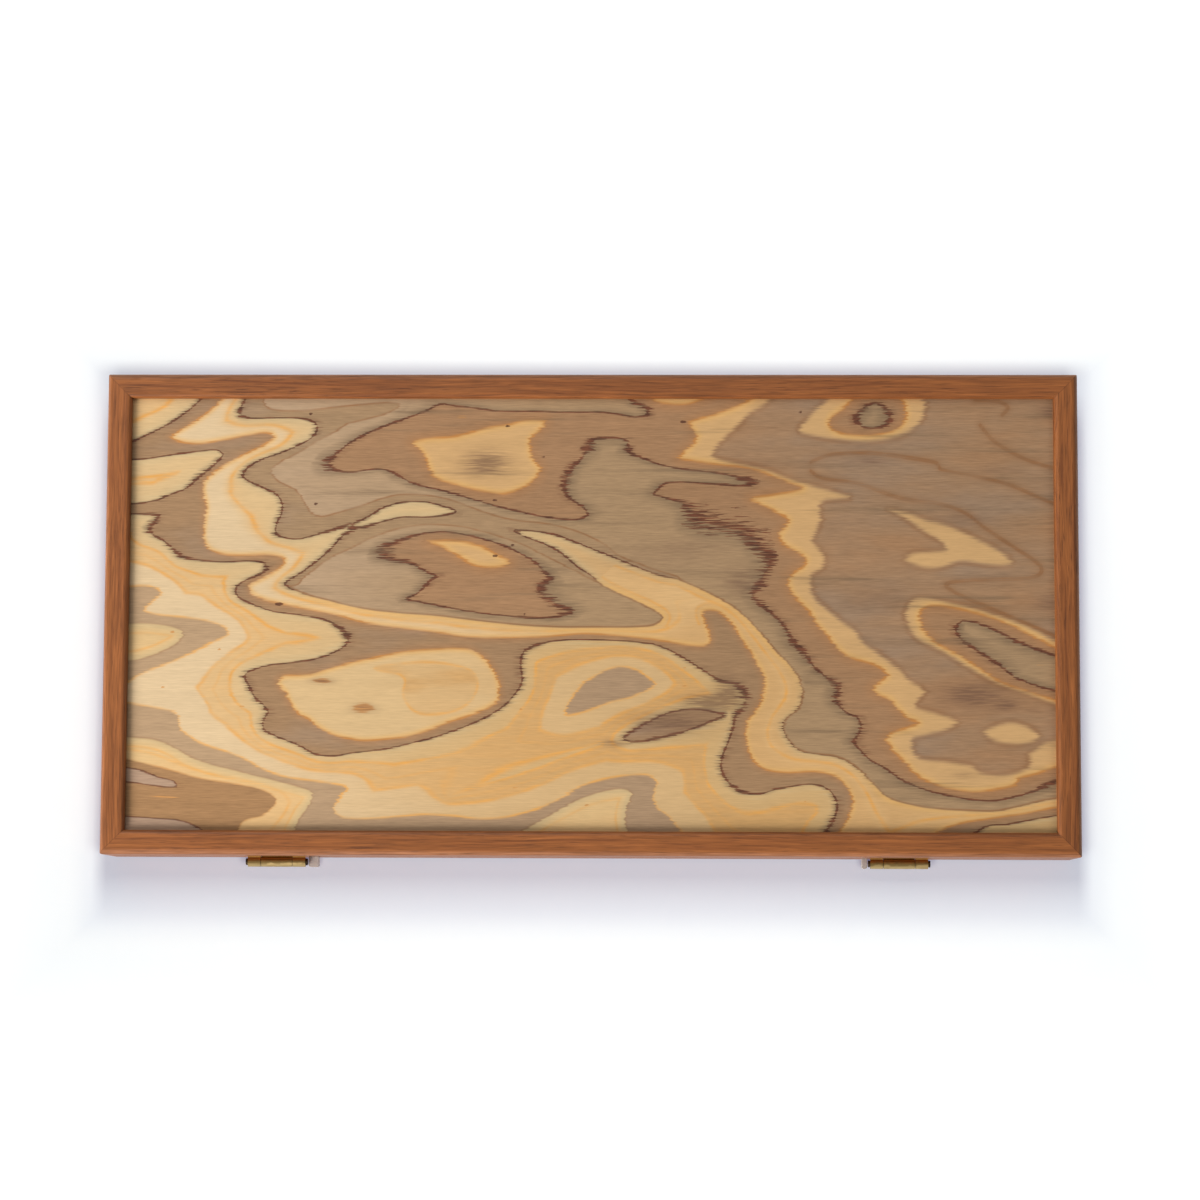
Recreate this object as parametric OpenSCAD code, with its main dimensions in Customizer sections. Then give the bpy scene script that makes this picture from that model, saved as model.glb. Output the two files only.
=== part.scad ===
// Folding backgammon board, closed: a lid and a base hinged along the spine.
// X runs along the hinges, Y points from the spine to the opening side, Z is up.
// The origin is on the surface the case lies on, under the middle of its outline.

/* [Case] */
// Length of the closed case, along the hinges
case_length = 480; // [440:1:540]
// Depth of the closed case, from the spine to the opening side
case_depth = 238; // [224:1:280]
// Height of one half, the lid or the base
half_height = 25; // [24:0.5:36]
// Gap between the closed halves
closing_gap = 0.3; // [0.2:0.05:0.6]

/* [Frame] */
// Thickness of the frame rails, seen from above
rail_thickness = 12; // [11:0.5:14]
// Radius of the outer edge of the frame
outer_round = 3; // [1.5:0.25:4]
// Radius of the frame's edge beside the panel
inner_round = 2.5; // [0.5:0.25:2.5]
// Radius of the upright corners, where two rails meet
corner_round = 1.2; // [0.4:0.1:2.5]
// Radius of the edges where the two halves meet
mating_round = 0.6; // [0.2:0.1:1]
// Depth of the groove that holds the panel
groove_depth = 5; // [3:0.5:6]
// Room for the panel to move at the bottom of its groove
panel_room = 0.5; // [0.2:0.1:1]

/* [Panels] */
// How far the outer veneer lies below the frame's edge
panel_recess = 4; // [2.5:0.25:5]
// Thickness of the plywood core of a panel
core_thickness = 4; // [3:0.25:5]
// Thickness of the veneer on each face of a panel
veneer_thickness = 0.6; // [0.4:0.1:1]

/* [Playing field] */
// Length of an inlaid point, from its base to its tip
point_length = 180; // [150:1:195]
// Gap between the bases of two neighbouring points
point_gap = 2; // [1:0.25:4]
// Gap between the outermost points and the rails
point_margin = 1.5; // [0.5:0.25:4]

/* [Hinges] */
// Distance from an end of the case to the middle of its hinge
hinge_inset = 86; // [70:1:110]
// Distance of the hinge pair from the middle of the spine
hinge_shift = -1.5; // [-6:0.5:6]
// Length of a hinge barrel
hinge_length = 28.5; // [24:0.5:40]
// Length of each outer knuckle of a hinge
outer_knuckle = 6.3; // [5:0.1:8]
// Gap between two knuckles
knuckle_gap = 0.25; // [0.15:0.05:0.4]
// Radius of a hinge pin
pin_radius = 1.25; // [1:0.05:1.4]
// Radial clearance of the pin in the outer knuckles
pin_clearance = 0.05; // [0.02:0.01:0.09]
// Radius of the heads at both ends of a pin
pin_head_radius = 1.7; // [1.6:0.05:2.2]
// Thickness of a pin's heads
pin_head = 0.9; // [0.6:0.1:1.2]
// Thickness of the brass sheet
leaf_thickness = 1.2; // [0.9:0.1:1.4]
// Depth of a leaf in its rail
leaf_width = 9; // [8:0.25:10]
// Radius of a leaf's corners
leaf_corner = 1; // [0.4:0.1:2]
// Clearance round a leaf in its mortise
mortise_clearance = 0.1; // [0.05:0.05:0.3]
// Gap between a barrel and the spine
barrel_gap = 0.3; // [0.3:0.05:1]
// Width of the seam of a rolled knuckle
seam_width = 0.3; // [0.2:0.05:0.5]
// Depth of the seam of a rolled knuckle
seam_depth = 0.6; // [0.3:0.05:0.8]
// Angle of the seam round the barrel, from the top of it towards the spine
seam_turn = 24; // [0:1:40]

/* [Screws] */
// Distance between the two screws of a leaf
screw_spacing = 15; // [12:0.5:17]
// Radius of a screw's shank
screw_radius = 1; // [0.8:0.05:1.1]
// Radius of a screw's countersunk head
screw_head_radius = 1.9; // [1.7:0.05:2.2]
// Height of the cone under a screw's head
screw_cone = 0.9; // [0.6:0.05:1.1]
// Length of a screw, with its point
screw_length = 9; // [7:0.5:12]
// Length of a screw's point
screw_point = 1.6; // [1:0.1:2.5]
// Clearance round a screw's shank
screw_clearance = 0.05; // [0.02:0.01:0.15]
// Width of the slot in a screw's head
slot_width = 0.5; // [0.3:0.05:0.8]
// Depth of the slot in a screw's head
slot_depth = 0.45; // [0.3:0.05:0.6]

/* [Magnets] */
// Radius of a closing magnet
magnet_radius = 4; // [3:0.25:4.5]
// Thickness of a closing magnet
magnet_thickness = 3; // [2:0.25:5]
// Radial clearance of a magnet in its pocket
magnet_clearance = 0.05; // [0.02:0.01:0.15]
// Distance from an end of the case to its nearest magnet
magnet_inset = 90; // [40:1:140]

/* [Spine bumpers] */
// Width of the clear bumper beside the left hinge
left_bumper_width = 4.7; // [2:0.1:8]
// Width of the clear bumper beside the right hinge
right_bumper_width = 2.5; // [2:0.1:8]
// Height of a bumper
bumper_height = 8; // [5:0.5:12]
// Radius of a bumper's outer edges
bumper_round = 1; // [0.4:0.1:1]
// Clearance between a bumper and the opened lid
bumper_clearance = 0.4; // [0.3:0.05:0.8]
// Gap between a bumper and its neighbours
bumper_gap = 0.3; // [0.2:0.05:1]

/* [Playing pieces] */
// Radius of a checker
checker_radius = 16; // [14:0.25:16.5]
// Thickness of a checker
checker_thickness = 9; // [7:0.25:11]
// Width of a checker's raised rim
checker_rim = 3.5; // [2:0.25:5]
// Depth of the hollow inside the rim, on each face
checker_hollow = 0.8; // [0.4:0.1:1.5]
// Radius of a checker's rounded edges
checker_round = 1.2; // [0.5:0.1:1.8]
// Number of checkers in one row
checkers_in_row = 5; // [3:1:5]
// Number of rows of checkers at each end
checker_rows = 3; // [2:1:3]
// Gap between two checkers
checker_gap = 0.4; // [0.2:0.1:1]
// Side of a die
die_size = 11; // [9:0.5:12]
// Radius of a die's pips
pip_radius = 1; // [0.6:0.05:1.2]

/* [Hidden] */
$fn = 64;
// Overshoot of a cut past the face that it starts from
cut_over = 1;
panel_stack = core_thickness + 2 * veneer_thickness;
rail_height = half_height - closing_gap / 2;
barrel_radius = pin_radius + pin_clearance + leaf_thickness;
axis_offset = barrel_radius + barrel_gap;
bumper_depth = 2 * axis_offset - bumper_clearance;
spine_reach = max(axis_offset + barrel_radius, bumper_depth);
// Middle of the case in Y, so that the outline with its hinges is centred
case_y = spine_reach / 2;
spine_y = case_y - case_depth / 2;
axis_y = spine_y - axis_offset;
panel_length = case_length - 2 * rail_thickness + 2 * (groove_depth - panel_room);
panel_depth = case_depth - 2 * rail_thickness + 2 * (groove_depth - panel_room);
field_length = case_length - 2 * rail_thickness;
field_depth = case_depth - 2 * rail_thickness;
// Height above the outside of a half where its playing field starts
field_bottom = panel_recess + veneer_thickness + core_thickness;
field_top = panel_recess + panel_stack;
points_per_end = 6;
point_pitch = (field_depth - 2 * point_margin) / points_per_end;
hinge_xs = [for (side = [-1, 1]) hinge_shift + side * (case_length / 2 - hinge_inset)];
middle_knuckle = hinge_length - 2 * outer_knuckle - 2 * knuckle_gap;
pin_length = hinge_length + 2 * knuckle_gap;
// Place of the screws across a leaf, measured from the hinge axis
screw_y = axis_offset + leaf_width / 2;
checker_pitch = 2 * checker_radius + checker_gap;
checker_count = checkers_in_row * checker_rows;
// Distance of each die from the middle of the case, and its turn
die_gap = 6;
die_turn = 25;
checker_names = [for (n = [1 : checker_count]) str(n < 10 ? "0" : "", n)];
light_names = [for (n = checker_names) str("light_checker_", n)];
dark_names = [for (n = checker_names) str("dark_checker_", n)];
rail_names = ["front_rail", "spine_rail", "left_rail", "right_rail"];
half_names = concat(rail_names, ["panel", "veneer", "field", "dark_points", "light_points",
    "hinge_screws", "magnets"]);

// Colours
frame_colour = "sienna";
core_colour = "burlywood";
veneer_colour = "tan";
field_colour = "peru";
dark_colour = "saddlebrown";
light_colour = "wheat";
brass_colour = "darkgoldenrod";
steel_colour = "dimgray";

// Puts a piece of a half in the base, outside down
module in_base() {
    translate([0, case_y, 0]) children();
}

// Puts a piece of a half in the lid, outside up
module in_lid() {
    translate([0, case_y, 2 * half_height]) mirror([0, 0, 1]) children();
}

// Rectangle about the origin with round corners
module round_rectangle(size_x, size_y, radius) {
    square([size_x - 2 * radius, size_y], center = true);
    square([size_x, size_y - 2 * radius], center = true);
    for (x = [-1, 1], y = [-1, 1])
        translate([x * (size_x / 2 - radius), y * (size_y / 2 - radius)]) circle(radius);
}

// What is cut off a corner at the origin to round it
module corner_waste(radius) {
    difference() {
        translate([-cut_over, -cut_over]) square(radius + cut_over);
        translate([radius, radius]) circle(radius);
    }
}

// Section of a rail: X from its outer face inwards, Y from the outside of the half
module rail_section() {
    difference() {
        square([rail_thickness, rail_height]);
        corner_waste(outer_round);
        translate([rail_thickness, 0]) mirror([1, 0]) corner_waste(inner_round);
        translate([0, rail_height]) mirror([0, 1]) corner_waste(mating_round);
        translate([rail_thickness, rail_height]) rotate(180) corner_waste(mating_round);
        translate([rail_thickness - groove_depth, panel_recess])
            square([groove_depth + cut_over, panel_stack]);
    }
}

// Rail along X with its outer face to -Y, cut to 45 degree mitres at both ends
module rail(run, reach) {
    intersection() {
        translate([-run / 2, -reach, 0]) rotate([90, 0, 90]) linear_extrude(run) rail_section();
        linear_extrude(rail_height) intersection() {
            round_rectangle(run, 2 * reach, corner_round);
            polygon([[-run / 2, -reach], [run / 2, -reach],
                [run / 2 - rail_thickness, rail_thickness - reach],
                [rail_thickness - run / 2, rail_thickness - reach]]);
        }
    }
}

module long_rail() {
    rail(case_length, case_depth / 2);
}

module short_rail() {
    rotate(90) rail(case_depth, case_length / 2);
}

// Rail on the opening side, with the pockets of the magnets
module front_rail() {
    difference() {
        rotate(180) long_rail();
        magnet_places() translate([0, 0, -magnet_thickness])
            cylinder(h = magnet_thickness + cut_over, r = magnet_radius + magnet_clearance);
    }
}

// Rail that carries the hinges, with a mortise and two screw holes for each leaf
module spine_rail() {
    difference() {
        long_rail();
        for (x = hinge_xs) translate([x, -case_depth / 2 - axis_offset, half_height]) {
            leaf_mortise();
            screw_places() screw_hole(screw_radius + screw_clearance);
        }
    }
}

module left_rail() {
    rotate(180) short_rail();
}

module right_rail() {
    short_rail();
}

// Sheet of a panel between two heights, tongued into the grooves all round
module sheet(bottom, thickness) {
    translate([0, 0, bottom + thickness / 2])
        cube([panel_length, panel_depth, thickness], center = true);
}

module panel() {
    sheet(panel_recess + veneer_thickness, core_thickness);
}

module veneer() {
    sheet(panel_recess, veneer_thickness);
}

// One inlaid point of the left end, its base on the left rail
module point_outline(place) {
    middle = -field_depth / 2 + point_margin + (place + 0.5) * point_pitch;
    half_base = (point_pitch - point_gap) / 2;
    translate([-field_length / 2, middle])
        polygon([[0, -half_base], [point_length, 0], [0, half_base]]);
}

// Points of one wood: every other one at the left end, the others at the right end
module points(first) {
    translate([0, 0, field_bottom]) linear_extrude(veneer_thickness)
        for (n = [0 : 2 : points_per_end - 1]) {
            point_outline(n + first);
            mirror([1, 0]) point_outline(n + 1 - first);
        }
}

module dark_points() {
    points(0);
}

module light_points() {
    points(1);
}

module field() {
    difference() {
        sheet(field_bottom, veneer_thickness);
        translate([0, 0, field_bottom - cut_over]) linear_extrude(veneer_thickness + 2 * cut_over)
            for (n = [0 : points_per_end - 1]) {
                point_outline(n);
                mirror([1, 0]) point_outline(n);
            }
    }
}

// The places of the magnets, on the mating face of the rail on the opening side
module magnet_places() {
    for (side = [-1, 1])
        translate([side * (case_length / 2 - magnet_inset), (case_depth - rail_thickness) / 2,
            rail_height]) children();
}

module magnets() {
    magnet_places() translate([0, 0, -magnet_thickness])
        cylinder(h = magnet_thickness, r = magnet_radius);
}

// The places of a leaf's screws, from the hinge axis, on the leaf's face
module screw_places() {
    for (x = [-1, 1])
        translate([x * screw_spacing / 2, screw_y, -closing_gap / 2]) children();
}

module screw_hole(radius) {
    translate([0, 0, -screw_length]) cylinder(h = screw_length, r = radius);
}

// Cone of a countersunk head, its top on the leaf's face
module screw_seat() {
    translate([0, 0, -screw_cone])
        cylinder(h = screw_cone, r1 = screw_radius, r2 = screw_head_radius);
}

// Countersunk wood screw with a slotted head, its top at the origin
module screw() {
    shank = screw_length - screw_point - screw_cone;
    difference() {
        rotate_extrude() polygon([[0, 0], [screw_head_radius, 0], [screw_radius, -screw_cone],
            [screw_radius, -screw_cone - shank], [0, -screw_length]]);
        cube([2 * screw_head_radius + cut_over, slot_width, 2 * slot_depth], center = true);
    }
}

module hinge_screws() {
    for (x = hinge_xs) translate([x, -case_depth / 2 - axis_offset, half_height])
        screw_places() screw();
}

// Room for a leaf in the mating face of its rail, from the hinge axis
module leaf_mortise() {
    height = leaf_thickness + closing_gap / 2;
    translate([-hinge_length / 2 - mortise_clearance, 0, -height])
        cube([hinge_length + 2 * mortise_clearance,
            axis_offset + leaf_width + mortise_clearance, height + cut_over]);
}

// Outline of a leaf from above: X along the axis, Y into the rail
module leaf_outline() {
    translate([0, axis_offset + leaf_width / 2])
        round_rectangle(hinge_length, leaf_width, leaf_corner);
    translate([-hinge_length / 2, axis_offset]) square([hinge_length, leaf_corner]);
}

// One knuckle rolled round the pin, and the strip of sheet that joins it to its leaf
module knuckle(start, run, bore) {
    difference() {
        union() {
            translate([start, 0, 0]) rotate([0, 90, 0]) cylinder(h = run, r = barrel_radius);
            translate([start, 0, -closing_gap / 2 - leaf_thickness])
                cube([run, axis_offset + leaf_corner, leaf_thickness]);
        }
        translate([start - cut_over, 0, 0]) rotate([0, 90, 0])
            cylinder(h = run + 2 * cut_over, r = bore);
        rotate([-seam_turn, 0, 0])
            translate([start - cut_over, -seam_width / 2, barrel_radius - seam_depth])
                cube([run + 2 * cut_over, seam_width, seam_depth + cut_over]);
    }
}

// Leaf for the base, from the hinge axis, with its countersunk holes
module leaf() {
    difference() {
        translate([0, 0, -closing_gap / 2 - leaf_thickness])
            linear_extrude(leaf_thickness) leaf_outline();
        screw_places() {
            screw_seat();
            screw_hole(screw_radius + screw_clearance);
        }
    }
}

// Base leaf: one middle knuckle that grips the pin
module base_leaf() {
    color(brass_colour) {
        leaf();
        knuckle(-middle_knuckle / 2, middle_knuckle, pin_radius);
    }
}

// Lid leaf: two outer knuckles that turn on the pin
module lid_leaf() {
    color(brass_colour) mirror([0, 0, 1]) {
        leaf();
        for (start = [-hinge_length / 2, hinge_length / 2 - outer_knuckle])
            knuckle(start, outer_knuckle, pin_radius + pin_clearance);
    }
}

// Pin with a low head at each end, closed up after it was put in
module hinge_pin() {
    half = pin_length / 2;
    edge = pin_head / 3;
    color(steel_colour) rotate([0, 90, 0]) rotate_extrude() polygon([
        [0, -half - pin_head], [pin_head_radius - edge, -half - pin_head],
        [pin_head_radius, -half - pin_head + edge], [pin_head_radius, -half],
        [pin_radius, -half], [pin_radius, half], [pin_head_radius, half],
        [pin_head_radius, half + pin_head - edge], [pin_head_radius - edge, half + pin_head],
        [0, half + pin_head]]);
}

module on_hinge(side) {
    translate([hinge_xs[side], axis_y, half_height]) children();
}

// Clear block on the base's spine; its outer edges are round
module bumper(start, width) {
    top = rail_height - mating_round;
    translate([start + width / 2, spine_y - bumper_depth / 2, top - bumper_height])
        linear_extrude(bumper_height) {
            round_rectangle(width, bumper_depth, bumper_round);
            translate([-width / 2, 0]) square([width, bumper_depth / 2]);
        }
}

// One bumper at the inner end of each hinge
module spine_bumpers() {
    inner = pin_length / 2 + pin_head + bumper_gap;
    color("gainsboro", 0.5) {
        bumper(hinge_xs[0] + inner, left_bumper_width);
        bumper(hinge_xs[1] - inner - right_bumper_width, right_bumper_width);
    }
}

// Turned disc with a raised rim on both faces, lying on the XY plane
module checker() {
    half = checker_thickness / 2;
    translate([0, 0, half]) rotate_extrude() difference() {
        translate([0, -half]) square([checker_radius, checker_thickness]);
        for (side = [0, 1]) mirror([0, side]) {
            translate([checker_radius, half]) rotate(180) corner_waste(checker_round);
            translate([-cut_over, half - checker_hollow])
                square([checker_radius - checker_rim + cut_over, checker_hollow + cut_over]);
        }
    }
}

// A checker by its number, counted along the rows from one end of the base
module stored_checker(number, side) {
    row = floor(number / checkers_in_row);
    place = number % checkers_in_row;
    from_end = field_length / 2 - checker_radius - checker_gap;
    across = 2 * row + 0.5 - points_per_end / 2;
    in_base() translate([side * (from_end - place * checker_pitch), across * point_pitch, field_top])
        checker();
}

// Places of the pips on a face, in steps of a quarter of the die
function pips(count) = concat(
    count % 2 == 1 ? [[0, 0]] : [],
    count > 1 ? [[-1, -1], [1, 1]] : [],
    count > 3 ? [[-1, 1], [1, -1]] : [],
    count == 6 ? [[-1, 0], [1, 0]] : []);

// Cube whose corners a ball rounds off, with a dimple for each pip
module die() {
    half = die_size / 2;
    // The ball cuts the corners where the cube's diagonal is this share of its full length
    corner_share = 0.8;
    turns = [[0, 0, 0], [90, 0, 0], [0, 90, 0], [0, -90, 0], [-90, 0, 0], [180, 0, 0]];
    difference() {
        intersection() {
            cube(die_size, center = true);
            sphere(half * sqrt(3) * corner_share);
        }
        for (face = [0 : 5]) rotate(turns[face]) for (place = pips(face + 1))
            translate([place[0] * die_size / 4, place[1] * die_size / 4, half + pip_radius / 2])
                sphere(pip_radius);
    }
}

// Two dice on the middle of the base's field
module dice() {
    color("ivory") in_base() for (side = [-1, 1])
        translate([side * (die_size / 2 + die_gap), side * die_gap, field_top + die_size / 2])
            rotate([side > 0 ? 90 : 0, 0, die_turn * side]) die();
}

// One named piece of a half
module half_piece(name) {
    if (name == "front_rail") color(frame_colour) front_rail();
    if (name == "spine_rail") color(frame_colour) spine_rail();
    if (name == "left_rail") color(frame_colour) left_rail();
    if (name == "right_rail") color(frame_colour) right_rail();
    if (name == "panel") color(core_colour) panel();
    if (name == "veneer") color(veneer_colour) veneer();
    if (name == "field") color(field_colour) field();
    if (name == "dark_points") color(dark_colour) dark_points();
    if (name == "light_points") color(light_colour) light_points();
    if (name == "hinge_screws") color(brass_colour) hinge_screws();
    if (name == "magnets") color(steel_colour) magnets();
}

for (name = half_names) {
    in_lid() half_piece(name);
    in_base() half_piece(name);
}
on_hinge(0) lid_leaf();  // left_lid_leaf
on_hinge(0) base_leaf();  // left_base_leaf
on_hinge(0) hinge_pin();  // left_hinge_pin
on_hinge(1) lid_leaf();  // right_lid_leaf
on_hinge(1) base_leaf();  // right_base_leaf
on_hinge(1) hinge_pin();  // right_hinge_pin
spine_bumpers();
dice();
for (n = [0 : checker_count - 1]) {
    color(light_colour) stored_checker(n, -1);
    color(dark_colour) stored_checker(n, 1);
}
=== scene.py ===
# %% [markdown]
# # A folding backgammon board with a figured veneer
#
# The object is a closed wooden case, photographed almost straight from above. Its lid and base are
# mitred frames of warm brown wood, each round a sunk panel with a wildly figured veneer. Two small
# brass hinges sit on the spine. This script dresses the finished construction: it makes the veneer,
# the woods, the metals and the small pieces inside, and it lights them for the camera.

import math

import bmesh
import bpy
import numpy as np
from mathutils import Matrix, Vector


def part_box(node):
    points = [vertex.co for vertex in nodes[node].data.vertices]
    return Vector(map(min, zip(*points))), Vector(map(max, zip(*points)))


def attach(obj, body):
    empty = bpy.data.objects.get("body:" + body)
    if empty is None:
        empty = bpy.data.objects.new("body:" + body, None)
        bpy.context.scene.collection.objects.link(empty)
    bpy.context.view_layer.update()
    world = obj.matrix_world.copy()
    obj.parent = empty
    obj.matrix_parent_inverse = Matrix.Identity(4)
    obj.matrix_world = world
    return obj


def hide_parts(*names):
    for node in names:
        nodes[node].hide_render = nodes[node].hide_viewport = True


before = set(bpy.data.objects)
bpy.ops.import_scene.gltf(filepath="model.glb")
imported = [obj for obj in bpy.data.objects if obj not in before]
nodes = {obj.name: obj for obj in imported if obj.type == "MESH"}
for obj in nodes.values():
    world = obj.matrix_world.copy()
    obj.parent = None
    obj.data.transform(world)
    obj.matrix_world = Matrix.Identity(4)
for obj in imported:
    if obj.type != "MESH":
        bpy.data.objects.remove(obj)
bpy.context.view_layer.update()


def added(name, data):
    """A new object in the scene, made from a camera, a lamp or a mesh."""
    made = bpy.data.objects.new(name, data)
    bpy.context.scene.collection.objects.link(made)
    return made


# %% [markdown]
# ## Camera
#
# The frame's four corners and the panel's edges in the photograph give the camera: a long lens, nearly
# overhead, a little towards the hinges and tipped by six degrees. It could be placed by eye, but the
# figure's outlines are carried back through this same camera, so it has to be exact. Its place is
# measured from the middle of the case's outline, at the foot of the case.

# %% Find the case
case_low = np.array(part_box("base_left_rail")[0])
case_high = np.array(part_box("lid_right_rail")[1])
CASE_MIDDLE = (case_low + case_high) / 2
CASE_HALF = (case_high - case_low) / 2
print("case, in mm:", np.round(2000 * CASE_HALF, 1))

# %% Place the camera
PHOTO_SIDE = 1200
FOCAL_LENGTH = 100.0
SENSOR = 36.0
CAMERA_PLACE = np.array((CASE_MIDDLE[0] + 0.0419, CASE_MIDDLE[1] - 0.1641, 1.6788))
CAMERA_TURN = tuple(math.radians(a) for a in (5.98, 1.28, 0.24))

camera_data = bpy.data.cameras.new("camera")
camera_data.lens = FOCAL_LENGTH
camera_data.sensor_width = SENSOR
camera = added("camera", camera_data)
camera.location = CAMERA_PLACE
camera.rotation_euler = CAMERA_TURN
bpy.context.scene.camera = camera
bpy.context.view_layer.update()
CAMERA_AXES = np.array(camera.matrix_world.to_3x3())
print("camera looks along", np.round(-CAMERA_AXES[:, 2], 3))

# %% [markdown]
# ## Shader maths in Python
#
# A node tree is hard to read back, so the materials here are written as sums. A `Wire` stands for a
# socket, and each operator on it adds the Math node that it names. A `Paint` is one material's tree. Its
# `node` method makes every other kind of node, and a few short methods name the ones used most.

# %% A socket that can be reckoned with


class Wire:
    """An output socket. `a * b + 1` on wires adds the Math nodes for it."""

    def __init__(self, paint, socket):
        self.paint = paint
        self.socket = socket

    def math(self, operation, *others):
        return self.paint.math(operation, self, *others)

    def __add__(self, other):
        return self.math("ADD", other)

    def __sub__(self, other):
        return self.math("SUBTRACT", other)

    def __rsub__(self, other):
        return self.paint.math("SUBTRACT", other, self)

    def __mul__(self, other):
        return self.math("MULTIPLY", other)

    def __truediv__(self, other):
        return self.math("DIVIDE", other)

    def __rtruediv__(self, other):
        return self.paint.math("DIVIDE", other, self)

    def __neg__(self):
        return self.math("MULTIPLY", -1.0)

    def __abs__(self):
        return self.math("ABSOLUTE")

    __radd__ = __add__
    __rmul__ = __mul__

    def ramp(self, low, high):
        """0 at low, 1 at high and a smooth step between."""
        step = {"interpolation_type": "SMOOTHSTEP"}
        return self.paint.node("ShaderNodeMapRange", step, {0: self, 1: low, 2: high})

    def bell(self, width):
        """A soft line where the value is 0: exp(-(value / width) squared)."""
        scaled = self / width
        return (-(scaled * scaled)).math("EXPONENT")

    def least(self, other):
        return self.math("MINIMUM", other)

    def most(self, other):
        return self.math("MAXIMUM", other)


print("methods of a wire:", sorted(name for name in vars(Wire) if name[0] != "_"))

# %% A material's tree


def colour(red, green, blue):
    """A colour given as 0 to 255 on the screen, in the linear values that Blender reckons with."""
    screen = np.array((red, green, blue)) / 255
    linear = np.where(screen <= 0.04045, screen / 12.92, ((screen + 0.055) / 1.055) ** 2.4)
    return tuple(float(v) for v in linear) + (1.0,)


class Paint:
    """The tree of one material or of the world, with short methods for its nodes."""

    def __init__(self, owner):
        owner.use_nodes = True
        self.owner = owner
        self.tree = owner.node_tree
        self.tree.nodes.clear()
        self.place = self.node("ShaderNodeTexCoord", out="Object")

    def node(self, kind, settings=None, inputs=None, out=0):
        """A node of that kind: its settings first, then its sockets, each a value or a wire."""
        made = self.tree.nodes.new(kind)
        for name, value in (settings or {}).items():
            setattr(made, name, value)
        for key, value in (inputs or {}).items():
            if isinstance(value, Wire):
                self.tree.links.new(value.socket, made.inputs[key])
            else:
                made.inputs[key].default_value = value
        return Wire(self, made.outputs[out]) if made.outputs else made

    def math(self, operation, *values):
        return self.node("ShaderNodeMath", {"operation": operation}, dict(enumerate(values)))

    def mix(self, factor, first, second):
        """A colour that goes from first to second as factor goes from 0 to 1."""
        return self.node("ShaderNodeMix", {"data_type": "RGBA"}, {0: factor, 6: first, 7: second}, out=2)

    def shade(self, tint, factor):
        """A colour made lighter or darker by a factor."""
        return self.node("ShaderNodeVectorMath", {"operation": "SCALE"}, {0: tint, "Scale": factor})

    def stretch(self, place, scale, shift=(0, 0, 0)):
        """Places multiplied by a scale for each axis, and then moved."""
        sums = {"operation": "MULTIPLY_ADD"}
        return self.node("ShaderNodeVectorMath", sums, {0: place, 1: scale, 2: shift})

    def noise(self, scale, detail=3.0, shift=(0, 0, 0), place=None, warp=0.0, out="Fac"):
        """Smooth noise round 0.5, with scale lumps for each metre along x, y and z."""
        where = self.stretch(place or self.place, scale, shift)
        sockets = {"Vector": where, "Scale": 1.0, "Detail": detail, "Distortion": warp}
        return self.node("ShaderNodeTexNoise", inputs=sockets, out=out)

    def parts(self, vector):
        """The three parts of a vector, each a wire."""
        first = self.node("ShaderNodeSeparateXYZ", inputs={0: vector})
        return [Wire(self, socket) for socket in first.socket.node.outputs]

    def layer(self, name):
        """The three numbers that the mesh holds under that name, each a wire."""
        return self.parts(self.node("ShaderNodeAttribute", {"attribute_name": name}, out="Vector"))

    def bump(self, height, depth, strength=1.0):
        """A surface pushed about by a height from 0 to 1, worth depth metres."""
        sockets = {"Strength": strength, "Distance": depth, "Height": height}
        return self.node("ShaderNodeBump", inputs=sockets)

    def finish(self, shader, kind="ShaderNodeOutputMaterial"):
        """The material, with that shader as its surface."""
        self.node(kind, inputs={"Surface": shader})
        return self.owner

    def surface(self, **sockets):
        """The material, with the Principled shader's sockets given by their names."""
        named = {name.replace("_", " "): value for name, value in sockets.items()}
        return self.finish(self.node("ShaderNodeBsdfPrincipled", inputs=named))


def fresh(name):
    """The empty tree of a new material with that name."""
    return Paint(bpy.data.materials.new(name))


def dress(material, *names):
    """Gives these construction nodes one material."""
    for name in names:
        slots = nodes[name].data.materials
        slots.clear()
        slots.append(material)


print("white on the screen is", colour(255, 255, 255)[:3])

# %% [markdown]
# ## The room
#
# The photograph has a white ground with a lilac shadow, narrow on three sides and wide on the hinges'
# side. Two overhead lamps throw it: one a little on the hinges' side, and a longer one well behind the case.
# The wood is lit from elsewhere, low from the left and the hinges' side, so the left edge of the recess lies
# in shadow. So two lamps light the floor alone, and two light all but the floor. Blender calls that light
# linking. The floor also has a faint glow that only the camera and mirrors see: lilac in the shadow, and
# stronger away from the case, where the lamps' light falls off and the photograph stays white.

# %% Floor
FLOOR_REACH = 3.0
FLOOR_DROP = 0.0003
FLOOR_PALE = (0.74, 0.78, 0.73, 1.0)
FLOOR_PALER = (0.76, 0.80, 0.75, 1.0)
WHITE = (1.0, 1.0, 1.0, 1.0)
# On the hinges' side the shadow is wider than on the others by this many metres.
WIDE_SHADOW = 0.018
SHADOW_GLOW = (0.06, 0.06, 0.17, 1.0)
# From the case outwards: where the glow begins to turn, where it has turned, and to what.
GLOW_STEPS = [
    (0.004, 0.026, (0.20, 0.19, 0.25, 1.0)),
    (0.015, 0.17, (0.62, 0.60, 0.63, 1.0)),
    (0.2, 0.8, WHITE),
]


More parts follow.
